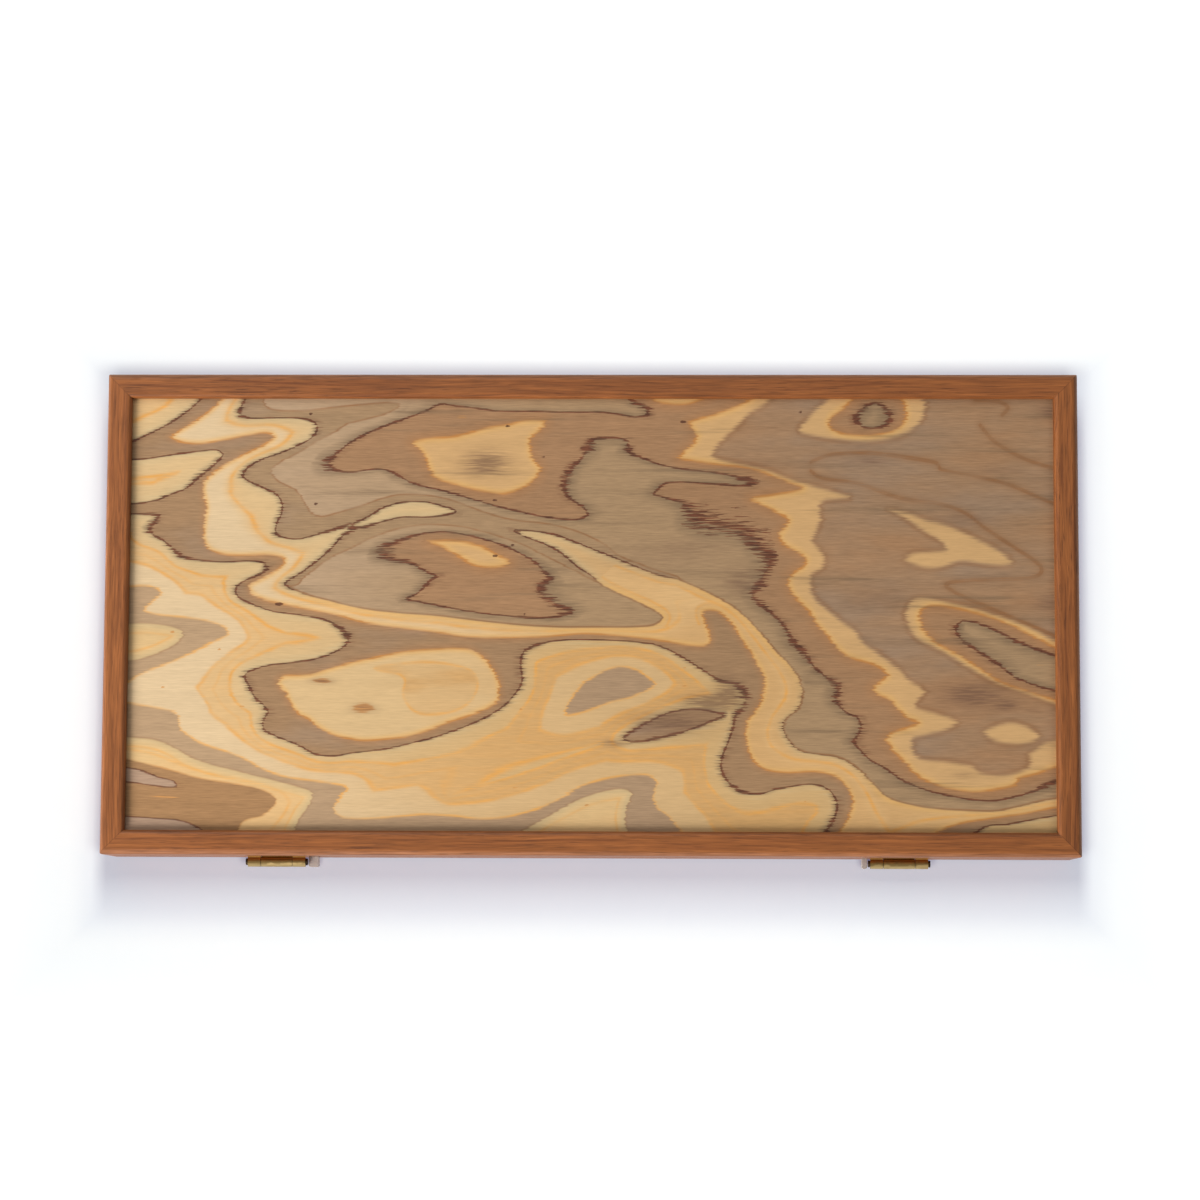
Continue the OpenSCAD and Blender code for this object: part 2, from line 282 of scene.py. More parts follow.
def ray_seen(paint, mirrored=1.0):
    """1 for rays from the camera, the share mirrored for mirror and glass rays, else 0."""
    from_camera = paint.node("ShaderNodeLightPath", out="Is Camera Ray")
    outs = from_camera.socket.node.outputs
    bent = Wire(paint, outs["Is Glossy Ray"]).most(Wire(paint, outs["Is Transmission Ray"]))
    return from_camera.most(bent * mirrored)


def floor_material():
    """Matt and pale, with a glow that grows with the distance from the case's outline."""
    paint = fresh("floor")
    tint = paint.mix(paint.noise((60, 60, 60), detail=4), FLOOR_PALE, FLOOR_PALER)
    matt = paint.node("ShaderNodeBsdfDiffuse", inputs={"Color": tint})
    x, y, _ = paint.parts(paint.place)
    across, deep = float(CASE_HALF[0]), float(CASE_HALF[1])
    beyond = (abs(x) - across).most(y - deep).most(-y - deep - WIDE_SHADOW)
    shine = SHADOW_GLOW
    for begins, ends, turned in GLOW_STEPS:
        shine = paint.mix(beyond.ramp(begins, ends), shine, turned)
    glow = paint.node("ShaderNodeEmission", inputs={"Color": shine, "Strength": ray_seen(paint)})
    return paint.finish(paint.node("ShaderNodeAddShader", inputs={0: matt, 1: glow}))


def flat_square(name, reach, height):
    """A level square about the origin, with its half side and its height."""
    mesh = bpy.data.meshes.new(name)
    x = np.array((-1, 1, 1, -1)) * reach
    y = np.array((-1, -1, 1, 1)) * reach
    mesh.from_pydata(np.column_stack([x, y, np.full(4, height)]), [], [(0, 1, 2, 3)])
    return added(name, mesh)


floor = flat_square("floor", FLOOR_REACH, -FLOOR_DROP)
floor.data.materials.append(floor_material())
print("floor side, in m:", 2 * FLOOR_REACH)

# %% World and lamps
WORLD_LEVEL = 0.176
MIRRORED_ROOM = 0.757
# Each lamp's place, what it faces, its two sides in metres, its power and whether it lights the floor alone.
LAMPS = {
    "key": ((-1.3, -1.1, 0.92), (0.0, 0.0, 0.02), 0.8, 0.8, 44.0, False),
    "fill": ((-0.7, 1.3, 1.6), (0.0, 0.0, 0.02), 1.6, 1.6, 18.0, False),
    "near": ((0.05, -0.26, 1.5), (0.05, -0.26, 0.0), 0.45, 0.2, 11.2, True),
    "behind": ((0.02, 0.55, 1.5), (0.02, 0.55, 0.0), 0.22, 0.8, 13.2, True),
}


def world_light():
    """A white room: dim for the light it gives, full white to look at, a little less in a mirror."""
    world = bpy.data.worlds.new("room")
    bpy.context.scene.world = world
    paint = Paint(world)
    level = WORLD_LEVEL + ray_seen(paint, MIRRORED_ROOM) * (1.0 - WORLD_LEVEL)
    room = paint.node("ShaderNodeBackground", inputs={"Color": WHITE, "Strength": level})
    paint.finish(room, "ShaderNodeOutputWorld")


def soft_lamp(name, place, target, wide, deep, power, floor_only):
    """A flat lamp turned towards the target, which lights the floor alone or all but the floor."""
    data = bpy.data.lights.new(name, "AREA")
    data.shape = "RECTANGLE"
    data.size = wide
    data.size_y = deep
    data.energy = power
    lamp = added(name, data)
    lamp.location = place
    lamp.rotation_euler = (Vector(target) - lamp.location).to_track_quat("-Z", "Y").to_euler()
    lit = bpy.data.collections.new(f"{name}_lit")
    lit.objects.link(floor)
    lit.collection_objects[0].light_linking.link_state = "INCLUDE" if floor_only else "EXCLUDE"
    lamp.light_linking.receiver_collection = lit


world_light()
for name, settings in LAMPS.items():
    soft_lamp(name, *settings)
bpy.context.scene.view_settings.view_transform = "Standard"

# %% [markdown]
# ## The figure's edges
#
# The veneer is peeled from a log with a wavy stack of layers, cream and brown in turn, so its figure is a
# contour map of that stack. Every layer has its own border. Each outline below was followed on the
# photograph, in its 1200 by 1200 pixels, with points only where the line turns. A noise pattern would
# have been quicker, but then the board would carry some other figure.

# %% Outlines, from the lowest layer to the highest
PALE_TOP = [
    (126, 445), (140, 438), (155, 431), (170, 423), (185, 413), (197, 403), (204, 396),
]
PALE_TONGUE = [
    (126, 460), (150, 458), (175, 454), (200, 451), (218, 450), (223, 454), (215, 464), (200, 476),
    (188, 487), (178, 492), (166, 496), (158, 500), (140, 503), (126, 504),
]
PALE_MAIN = [
    (126, 514), (148, 514), (158, 516), (152, 524), (149, 532), (162, 540), (172, 548), (180, 556),
    (195, 560), (222, 562), (250, 561), (264, 563), (267, 569), (258, 575), (242, 582), (236, 588),
    (237, 596), (250, 603), (272, 611), (300, 615), (322, 619), (338, 627), (347, 636), (346, 644),
    (336, 651), (318, 658), (296, 662), (270, 665), (252, 670), (244, 676), (249, 686), (254, 697),
    (264, 706), (268, 712), (263, 720), (264, 730), (280, 738), (300, 746), (315, 754), (332, 756),
    (352, 753), (385, 749), (420, 741), (450, 732), (478, 721), (500, 709), (513, 697), (522, 682),
    (521, 665), (524, 652), (540, 644), (565, 640), (600, 640), (640, 642), (665, 648), (690, 662),
    (710, 675), (722, 681), (737, 685), (745, 695), (743, 706), (735, 716), (733, 726), (728, 742),
    (722, 757), (721, 768), (727, 781), (740, 791), (758, 794), (778, 789), (800, 785), (817, 785),
    (830, 791), (837, 804), (834, 818), (824, 834),
]
DARK_LENS = [
    (623, 739), (632, 731), (648, 722), (668, 713), (690, 709), (708, 711), (724, 715), (712, 721),
    (692, 729), (668, 736), (645, 741), (630, 742), (623, 739),
]
CORNER_PALE = [
    (1060, 815), (1035, 819), (1008, 824), (988, 826), (970, 836),
]
CREAM_EDGE = [
    (226, 394), (210, 410), (193, 422), (176, 432), (170, 437), (180, 442), (200, 444), (225, 440),
    (250, 435), (266, 433), (274, 437), (262, 445), (242, 455), (222, 466), (205, 480), (203, 492),
    (206, 506), (204, 522), (203, 538), (209, 549), (220, 554), (240, 556), (270, 555), (284, 560),
    (276, 570), (260, 579), (249, 585), (252, 594), (268, 601), (300, 608), (335, 615), (365, 623),
    (400, 628), (440, 633), (465, 637), (500, 638), (545, 637), (585, 634), (620, 636), (655, 640),
    (685, 645), (705, 646), (711, 639), (706, 622), (703, 612), (716, 611), (730, 622), (745, 645),
    (757, 664), (764, 680), (762, 698), (754, 712), (747, 722), (746, 742), (752, 758), (764, 769),
    (785, 773), (815, 772), (835, 777), (848, 790), (852, 805), (848, 817), (838, 834),
]
ISLAND_EDGE = [
    (283, 676), (310, 674), (330, 668), (352, 662), (375, 657), (400, 652), (430, 649), (460, 648),
    (477, 652), (490, 664), (498, 678), (500, 690), (499, 700), (488, 708), (470, 716), (450, 722),
    (430, 730), (410, 736), (390, 739), (365, 741), (348, 739), (332, 735), (318, 727), (308, 719),
    (297, 713), (289, 702), (285, 692), (278, 684), (283, 676),
]
CORNER_CREAM_EDGE = [
    (1060, 807), (1040, 811), (1018, 815), (990, 819), (965, 823), (948, 828), (936, 834),
]
BAND_DARK = [
    (249, 394), (241, 406), (239, 413), (248, 418), (272, 418), (298, 418), (314, 422), (317, 430),
    (311, 438), (298, 445), (280, 453), (262, 459), (248, 467), (242, 476), (250, 482), (264, 488),
    (277, 495), (282, 504), (281, 514), (276, 524), (277, 535), (295, 539), (316, 535), (334, 530),
    (350, 524),
]
BAND_DARK_LOW = [
    (352, 529), (342, 536), (332, 547), (318, 560), (300, 573), (288, 580), (284, 584),
]
CREAM_LENS = [
    (352, 525), (368, 517), (385, 507), (405, 502), (425, 502), (442, 506), (456, 511), (445, 515),
    (425, 517), (402, 517), (380, 522), (362, 527), (352, 525),
]
WEDGE_TOP = [
    (514, 530), (532, 531), (552, 534), (570, 540), (585, 546), (600, 552), (620, 560), (642, 569),
    (662, 576), (678, 579),
]
WEDGE_LOW = [
    (514, 531), (526, 537), (545, 544), (560, 552), (570, 560), (581, 569), (594, 577),
]
GREY_TOP_LEFT = [
    (261, 394), (266, 407), (280, 411), (305, 411), (330, 408), (360, 405), (390, 403), (399, 406),
    (386, 413), (365, 419), (348, 423), (335, 431), (315, 442), (296, 453), (278, 463), (271, 470),
    (275, 479), (285, 485), (297, 491), (304, 502), (311, 513), (322, 517), (342, 512), (362, 506),
    (382, 499), (402, 495), (430, 496), (455, 502), (482, 512), (512, 520), (545, 524), (572, 530),
    (592, 538), (606, 546), (618, 556), (638, 564), (660, 572), (678, 577),
]
GREY_LOW_LEFT = [
    (290, 586), (298, 584), (304, 576), (318, 566), (332, 556), (350, 548), (368, 539), (388, 531),
    (410, 526), (430, 524), (460, 526), (490, 533), (520, 543), (545, 555), (567, 566), (582, 574),
    (594, 580),
]
DARK_3_MAIN = [
    (622, 394), (636, 403), (648, 409), (647, 415), (635, 417), (618, 414), (600, 412), (570, 412),
    (535, 411), (500, 411), (475, 408), (452, 405), (440, 404), (420, 413), (392, 423), (365, 434),
    (348, 444), (333, 456), (328, 464), (336, 470), (352, 472), (376, 469), (390, 471), (402, 478),
    (418, 485), (440, 490), (468, 498), (500, 507), (530, 514), (560, 519), (580, 519), (588, 514),
    (582, 506), (572, 500), (565, 491), (566, 480), (572, 468), (582, 458), (588, 448), (593, 440),
    (612, 438), (627, 441), (629, 452), (642, 458), (662, 465), (690, 470), (718, 473), (740, 478),
    (753, 482), (742, 486), (718, 484), (690, 482), (666, 483), (658, 489), (653, 494), (666, 498),
    (682, 503), (692, 511), (700, 520), (718, 527), (738, 531), (752, 538), (758, 546), (766, 552),
    (771, 560), (766, 570), (762, 578), (757, 587), (752, 594), (757, 602), (770, 612), (783, 625),
    (792, 640), (805, 655), (815, 668), (827, 678), (836, 684), (838, 691), (835, 697), (839, 706),
    (847, 713), (858, 718), (861, 725), (858, 735), (853, 741), (860, 750), (870, 760), (885, 768),
    (900, 779), (920, 788), (950, 796), (985, 801), (1010, 798), (1035, 791), (1048, 784), (1060, 780),
]
DARK_3_LENS = [
    (381, 549), (400, 540), (425, 533), (450, 532), (475, 537), (500, 544), (520, 553), (535, 562),
    (545, 572), (550, 579), (542, 585), (539, 591), (548, 598), (558, 605), (572, 611), (560, 616),
    (540, 618), (510, 616), (480, 613), (450, 608), (425, 603), (406, 599), (416, 594), (424, 587),
    (430, 580), (437, 577), (425, 571), (410, 563), (395, 560), (382, 555), (381, 549),
]
EYE_DARK = [
    (862, 410), (868, 405), (876, 403), (884, 407), (889, 414), (890, 420), (884, 426), (874, 428),
    (864, 427), (857, 422), (855, 416), (862, 410),
]
RING_DARK = [
    (1060, 658), (1030, 647), (1000, 633), (980, 624), (962, 621), (956, 626), (959, 636), (970, 646),
    (985, 655), (1000, 665), (1015, 677), (1035, 685), (1060, 692),
]
TOP_CREAM = [
    (648, 394), (655, 401), (668, 404), (688, 404), (704, 399), (712, 394),
]
RIVER_LEFT = [
    (757, 394), (746, 402), (730, 409), (712, 415), (698, 419), (689, 423), (694, 430), (697, 436),
    (693, 443), (686, 450), (678, 458), (692, 461), (720, 465), (746, 468), (770, 475), (790, 483),
    (803, 488), (794, 491), (775, 494), (750, 498), (760, 504), (775, 512), (788, 520), (783, 529),
    (779, 538), (786, 546), (797, 552), (806, 559), (803, 566), (793, 572), (788, 578), (790, 590),
    (797, 600), (808, 610), (815, 622), (823, 632), (830, 640), (840, 651), (850, 658), (870, 664),
    (883, 670), (887, 676), (879, 682), (872, 688), (878, 695), (890, 700), (900, 711), (909, 719),
    (918, 723), (905, 728), (890, 733), (886, 739), (893, 750), (905, 762), (913, 772), (925, 780),
    (945, 788), (975, 792), (1000, 789), (1015, 785), (1018, 779), (1040, 773), (1060, 766),
]
CREAM_ISLAND = [
    (412, 442), (430, 438), (455, 436), (475, 431), (490, 427), (508, 424), (525, 420), (546, 421),
    (540, 430), (531, 440), (532, 455), (538, 464), (540, 472), (532, 482), (518, 490), (503, 494),
    (480, 491), (460, 486), (442, 481), (432, 474), (428, 465), (424, 456), (419, 449), (412, 442),
]
CREAM_SLIVER = [
    (428, 542), (445, 540), (467, 542), (487, 548), (500, 556), (510, 562), (500, 567), (480, 567),
    (466, 561), (452, 553), (442, 547), (428, 542),
]
EYE_ORANGE = [
    (858, 394), (851, 402), (843, 409), (832, 416), (829, 422), (833, 429), (845, 434), (870, 435),
    (888, 432), (900, 426), (906, 415), (903, 402), (899, 394),
]
RING_ORANGE = [
    (1060, 650), (1030, 635), (1000, 621), (970, 612), (945, 607), (928, 607), (920, 613), (921, 625),
    (928, 635), (940, 645), (960, 655), (980, 668), (1000, 681), (1030, 692), (1060, 701),
]
RIVER_RIGHT = [
    (777, 394), (766, 404), (750, 414), (738, 426), (725, 438), (717, 448), (714, 456), (725, 460),
    (745, 464), (768, 470), (788, 478), (805, 483), (830, 490), (850, 496), (850, 499), (835, 500),
    (823, 502), (821, 512), (820, 524), (815, 534), (813, 541), (820, 549), (826, 560), (820, 570),
    (812, 575), (812, 587), (815, 597), (828, 609), (842, 621), (856, 630), (863, 641), (876, 651),
    (890, 661), (901, 670), (910, 680), (921, 686), (925, 692), (918, 700), (917, 707), (932, 711),
    (947, 716), (958, 723), (945, 731), (925, 736), (913, 740), (914, 750), (920, 758), (945, 761),
    (970, 765), (980, 772), (1000, 775), (1020, 771), (1030, 764), (1028, 756), (1034, 750), (1044, 743),
    (1060, 738),
]
LOW_ISLAND = [
    (983, 732), (993, 726), (1008, 722), (1022, 724), (1034, 730), (1040, 736), (1034, 742), (1018, 745),
    (1000, 743), (988, 738), (983, 732),
]
EYE_SOFT = [
    (830, 394), (822, 404), (811, 413), (802, 424), (799, 432), (812, 436), (835, 440), (865, 442),
    (890, 439), (908, 433), (920, 422), (926, 411), (923, 394),
]
RING_SOFT = [
    (1060, 642), (1030, 627), (1000, 616), (970, 607), (940, 600), (920, 597), (910, 602), (905, 615),
    (910, 630), (920, 641), (940, 651), (960, 663), (980, 675), (1000, 685), (1030, 695), (1060, 707),
]
RIGHT_ISLAND = [
    (888, 509), (905, 512), (925, 519), (942, 523), (960, 530), (980, 540), (1000, 550), (1013, 562),
    (1005, 566), (985, 565), (965, 562), (955, 563), (945, 567), (930, 569), (912, 565), (903, 560),
    (912, 553), (930, 551), (945, 549), (938, 540), (924, 532), (908, 521), (896, 514), (888, 509),
]
TAN_UPPER = [
    (126, 587), (148, 586), (161, 592), (152, 601), (143, 610), (158, 615), (195, 619), (220, 625),
    (227, 633), (210, 643), (188, 654), (165, 664), (145, 672), (126, 682),
]
TAN_CORE = [
    (126, 624), (150, 624), (172, 627), (183, 632), (178, 642), (160, 652), (140, 659), (126, 661),
]
TAN_BAND = [
    (126, 703), (150, 707), (170, 711), (178, 717), (181, 730), (198, 742), (220, 750), (242, 758),
    (262, 769), (285, 777), (312, 781), (335, 784), (347, 788), (340, 796), (333, 808), (340, 817),
    (360, 819), (385, 818), (420, 815), (450, 816), (480, 819), (508, 817), (535, 810), (560, 799),
    (580, 787), (602, 780), (625, 776), (646, 775), (656, 781), (653, 795), (655, 806), (668, 817),
    (684, 834),
]
TAN_BAND_LOW = [
    (126, 737), (155, 740), (175, 748), (190, 757), (212, 765), (240, 772), (268, 779), (295, 786),
    (312, 793), (309, 805), (301, 816), (292, 834),
]
CREAM_LOW = [
    (126, 759), (150, 765), (176, 772), (202, 779), (240, 785), (262, 790), (276, 799), (270, 809),
    (260, 816), (243, 821), (236, 834),
]
GREY_LENS = [
    (122, 767), (140, 770), (158, 777), (174, 781), (177, 786), (168, 787), (150, 785), (122, 781),
]
GREY_CORNER = [
    (122, 816), (150, 818), (178, 820), (193, 825), (208, 834),
]
TAN_BLOB = [
    (566, 714), (571, 700), (582, 685), (596, 676), (612, 668), (625, 667), (638, 671), (648, 678),
    (655, 684), (646, 690), (630, 697), (612, 701), (596, 707), (578, 713), (566, 714),
]
TAN_LOW_RIGHT = [
    (518, 834), (535, 824), (556, 812), (578, 800), (598, 793), (620, 789), (631, 793), (627, 806),
    (625, 820), (628, 834),
]
RIVER_TOP = [
    (678, 579), (700, 589), (722, 600), (740, 612), (760, 632), (775, 650), (788, 663), (800, 680),
    (803, 695), (798, 709), (787, 718), (783, 728), (790, 741), (800, 750), (818, 754), (838, 757),
    (855, 766), (870, 780), (886, 796), (908, 804), (940, 809), (975, 811), (997, 811), (1020, 806),
    (1045, 800), (1060, 798),
]
RIVER_LOW = [
    (594, 578), (602, 585), (618, 593), (636, 601), (652, 609), (663, 617), (655, 625), (632, 627),
    (600, 627), (560, 627), (520, 625), (480, 621), (440, 616), (400, 613), (360, 608), (330, 601),
    (308, 595), (290, 588),
]
print("points in the longest outline:", len(PALE_MAIN))

# %% [markdown]
# ## Closed areas
#
# A layer's area is closed past the edge of the panel, where the frame hides it. Areas that lie in each
# other flip between in and out, so an island in a lake is simply one more outline. Where a brown layer
# is pinched to nothing, its two neighbours share one line.

# %% Close the outlines into areas
# Lines past the panel's four edges, where the frame hides the veneer
LEFT, RIGHT, FAR, NEAR = 60, 1120, 340, 900
DRAWN_STEP = 4.0


def drawn(points):
    """A smooth line through given points, closed if it ends where it starts.

    Between two points it is the cubic that leaves each one along the line through its neighbours.
    """
    p = np.array(points, float)
    closed = points[0] == points[-1]
    before = p[-2] if closed else 2 * p[0] - p[1]
    after = p[1] if closed else 2 * p[-1] - p[-2]
    q = np.vstack([before, p, after])
    pieces = []
    for a, b, c, d in zip(q, q[1:], q[2:], q[3:]):
        count = max(1, int(np.hypot(*(c - b)) / DRAWN_STEP))
        t = (np.arange(count) / count)[:, None]
        cubic = (3 * b - a - 3 * c + d) * t**3 + (2 * a - 5 * b + 4 * c - d) * t**2 + (c - a) * t + 2 * b
        pieces.append(cubic / 2)
    return np.vstack(pieces + [p[-1:]])


def area(*runs):
    """One closed outline from runs: a list is a line to smooth, a tuple holds plain corners."""
    return np.vstack([drawn(run) if isinstance(run, list) else np.array(run, float) for run in runs])


def back(points):
    """The same points in the other order."""
    return points[::-1]


LOW_SIDE = {
    "sliver": [
        area(GREY_LENS, ((LEFT, 781), (LEFT, 767))),
        area(GREY_CORNER, ((208, NEAR), (LEFT, NEAR), (LEFT, 816))),
    ],
    "warm": [area(CREAM_LOW, ((236, NEAR), (LEFT, NEAR), (LEFT, 759)))],
    "honey": [
        area(TAN_CORE, ((LEFT, 661), (LEFT, 624))),
        area(TAN_BAND_LOW, ((292, NEAR), (LEFT, NEAR), (LEFT, 737))),
        area(TAN_LOW_RIGHT, ((628, NEAR), (518, NEAR))),
    ],
    "tan": [
        area(TAN_UPPER, ((LEFT, 690), (LEFT, 585))),
        area(TAN_BAND, ((690, NEAR), (LEFT, NEAR), (LEFT, 700))),
        area(TAN_BLOB),
    ],
    "pale": [
        area(PALE_TOP, ((204, FAR), (LEFT, FAR), (LEFT, 452))),
        area(PALE_TONGUE, ((LEFT, 504), (LEFT, 460))),
        area(PALE_MAIN, ((824, NEAR), (LEFT, NEAR), (LEFT, 514))),
        area(DARK_LENS),
        area(CORNER_PALE, ((960, NEAR), (RIGHT, NEAR), (RIGHT, 808))),
    ],
}
HIGH_SIDE = {
    "cream": [
        area(
            CREAM_EDGE, ((838, NEAR), (930, NEAR)), back(CORNER_CREAM_EDGE),
            ((RIGHT, 798), (RIGHT, FAR), (228, FAR)),
        ),
        area(ISLAND_EDGE),
    ],
    "brown": [
        area(
            BAND_DARK, BAND_DARK_LOW, back(RIVER_LOW), back(WEDGE_LOW), WEDGE_TOP, RIVER_TOP,
            ((RIGHT, 790), (RIGHT, FAR), (252, FAR)),
        ),
        area(CREAM_LENS),
    ],
    "grey": [
        area(GREY_TOP_LEFT, RIVER_TOP, ((RIGHT, 790), (RIGHT, FAR), (262, FAR))),
        area(GREY_LOW_LEFT, RIVER_LOW),
    ],
    "rust": [
        area(DARK_3_MAIN, ((RIGHT, 770), (RIGHT, FAR), (620, FAR))),
        area(DARK_3_LENS),
        area(EYE_DARK),
        area(RING_DARK, ((RIGHT, 700), (RIGHT, 650))),
    ],
    "straw": [
        area(RIVER_LEFT, ((RIGHT, 755), (RIGHT, FAR), (760, FAR))),
        area(TOP_CREAM, ((712, FAR), (640, FAR))),
        area(CREAM_ISLAND),
        area(CREAM_SLIVER),
        area(EYE_ORANGE, ((900, FAR), (853, FAR))),
        area(RING_ORANGE, ((RIGHT, 712), (RIGHT, 640))),
    ],
    "ash": [
        area(RIVER_RIGHT, ((RIGHT, 731), (RIGHT, FAR), (780, FAR))),
        area(EYE_SOFT, ((918, FAR), (840, FAR))),
        area(RING_SOFT, ((RIGHT, 716), (RIGHT, 636))),
        area(RIGHT_ISLAND),
        area(LOW_ISLAND),
    ],
}
print("outlines:", sum(len(a) for a in [*LOW_SIDE.values(), *HIGH_SIDE.values()]))

# %% [markdown]
# ## From the photograph to the panel
#
# The camera's own rays carry each pixel back to the height of the veneer. After that every line is in
# metres on the board, and the distances worked out below are real ones.

# %% Carry the pixels back through the camera
sheet_low, sheet_high = (np.array(corner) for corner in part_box("lid_veneer"))
SHEET_TOP = sheet_high[2]
PIXELS_TO_SLOPE = SENSOR / (FOCAL_LENGTH * PHOTO_SIDE)


def on_board(pixels):
    """Where the rays through these pixels meet the veneer: camera + ray * (height / ray's fall)."""
    pixels = np.asarray(pixels, float)
    across = (pixels[:, 0] - PHOTO_SIDE / 2) * PIXELS_TO_SLOPE
    up = (PHOTO_SIDE / 2 - pixels[:, 1]) * PIXELS_TO_SLOPE
    rays = np.column_stack([across, up, -np.ones(len(pixels))]) @ CAMERA_AXES.T
    reach = (SHEET_TOP - CAMERA_PLACE[2]) / rays[:, 2]
    return CAMERA_PLACE[:2] + rays[:, :2] * reach[:, None]


PIXEL = float(np.diff(on_board([(600, 600), (601, 600)])[:, 0])[0])
print("one pixel on the veneer is", round(1000 * PIXEL, 3), "mm")

# %% [markdown]
# ## Distance to each border
#
# The material needs to know, everywhere on the sheet, how far it is to the border of each layer, and on
# which side it lies. Painting the sheet in fine cells would give jagged edges. A distance changes
# evenly, so a much coarser grid carries a border sharply.

# %% Measure the distances on a grid
ACROSS, DEEP = 301, 321
# Distances are followed this far, in metres.
REACH = 0.03
grid_x = np.linspace(sheet_low[0], sheet_high[0], ACROSS)
grid_y = np.linspace(sheet_low[1], sheet_high[1], DEEP)


def to_lines(starts, ends):
    """Distance from every grid point to the nearest of these straight pieces, row by row.

    A point's nearest place on a piece is its projection, held between the two ends.
    """
    along = ends - starts
    length = np.maximum((along**2).sum(1), 1e-12)
    low = np.minimum(starts[:, 1], ends[:, 1]) - REACH
    high = np.maximum(starts[:, 1], ends[:, 1]) + REACH
    found = np.full((DEEP, ACROSS), REACH)
    for row, y in enumerate(grid_y):
        close = (low < y) & (high > y)
        if not close.any():
            continue
        s, a, n = starts[close], along[close], length[close]
        dx = grid_x[:, None] - s[:, 0]
        dy = y - s[:, 1]
        t = np.clip((dx * a[:, 0] + dy * a[:, 1]) / n, 0, 1)
        gap = np.hypot(dx - t * a[:, 0], dy - t * a[:, 1])
        found[row] = np.minimum(found[row], gap.min(1))
    return found


def inside(starts, ends):
    """True where a line to the left crosses the outlines an odd number of times."""
    odd = np.zeros((DEEP, ACROSS), bool)
    for row, y in enumerate(grid_y):
        crossed = (starts[:, 1] <= y) != (ends[:, 1] <= y)
        s, e = starts[crossed], ends[crossed]
        at = s[:, 0] + (y - s[:, 1]) / (e[:, 1] - s[:, 1]) * (e[:, 0] - s[:, 0])
        odd[row] = np.searchsorted(np.sort(at), grid_x) % 2 == 1
    return odd


def depth(areas, inner_sign):
    """Signed distance in mm to the border of these areas, with inner_sign inside them."""
    loops = [on_board(outline) for outline in areas]
    starts = np.vstack(loops)
    ends = np.vstack([np.roll(loop, -1, axis=0) for loop in loops])
    sign = np.where(inside(starts, ends), inner_sign, -inner_sign)
    return 1000 * sign * to_lines(starts, ends)


height_over = {name: depth(areas, -1) for name, areas in LOW_SIDE.items()}
height_over.update({name: depth(areas, 1) for name, areas in HIGH_SIDE.items()})
for name, field in height_over.items():
    print(f"{name:7s} covers {100 * (field > 0).mean():5.1f} % of the sheet from its border upwards")

# %% [markdown]
# ## Other things that lie at a place
#
# Smoke and torn fibres are stronger at some bends, one border is dark on some stretches only, and there
# are knots, streaks and specks. Each is a soft spot or a faint line, measured on the same grid.

# %% Spots, streaks and faint lines
# Each spot is the middle and the half size, in the photograph's pixels, and its strength.
SMEARS = [
    (722, 524, 42, 20, 3.2), (762, 552, 14, 18, 1.6), (392, 553, 26, 12, 1.0), (556, 598, 20, 18, 0.8),
    (600, 447, 26, 8, 0.7), (350, 632, 22, 12, 0.7), (150, 522, 14, 12, 0.9), (190, 556, 22, 10, 0.6),
    (742, 696, 30, 22, 1.1), (786, 640, 14, 20, 0.2), (350, 528, 26, 7, 0.9), (322, 465, 12, 12, 0.7),
    (566, 478, 10, 16, 0.5), (750, 480, 20, 6, 0.6), (700, 765, 14, 24, 0.5), (820, 825, 16, 10, 0.6),
    (740, 788, 30, 8, 0.5), (650, 735, 30, 10, 0.7), (800, 655, 12, 16, 0.2), (835, 690, 10, 12, 0.5),
    (640, 404, 12, 6, 0.6), (1020, 650, 40, 16, 0.3), (876, 416, 16, 10, 0.7), (1052, 786, 14, 8, 0.5),
    (255, 715, 8, 20, 0.5), (242, 414, 6, 8, 0.6), (262, 568, 10, 6, 0.4), (200, 470, 14, 10, 0.4),
    (536, 652, 10, 12, 0.5), (762, 590, 14, 16, 0.6),
]
KNOTS = [
    (495, 556, 3, 2, 1.2), (311, 414, 3, 2, 1.1), (316, 504, 3, 2, 1.1), (279, 604, 5, 2, 1.3),
    (508, 426, 3, 2, 1.1), (683, 422, 4, 2, 1.2), (800, 412, 3, 2, 1.0), (513, 545, 3, 2, 1.0),
    (495, 500, 3, 2, 1.0), (543, 457, 3, 2, 1.0), (525, 614, 3, 2, 1.0),
]
SMUDGES = [
    (486, 463, 24, 13, 1.2), (975, 695, 30, 12, 1.2), (1006, 706, 12, 5, 0.9), (870, 461, 18, 4, 0.7),
    (966, 775, 14, 4, 0.5), (1048, 603, 14, 8, 0.7), (1050, 411, 12, 8, 0.9), (1033, 710, 8, 2, 0.6),
    (745, 466, 30, 5, 0.4), (1000, 470, 20, 5, 0.4), (960, 520, 30, 8, 0.35), (880, 600, 30, 12, 0.35),
    (614, 743, 13, 4, 0.9), (708, 702, 26, 8, 1.5), (728, 692, 12, 14, 1.2), (742, 582, 18, 14, 0.8),
    (363, 708, 11, 5, 1.0), (322, 681, 12, 3, 0.9), (672, 722, 40, 11, 1.1), (640, 560, 70, 16, 0.25),
    (690, 548, 40, 10, 0.4),
]
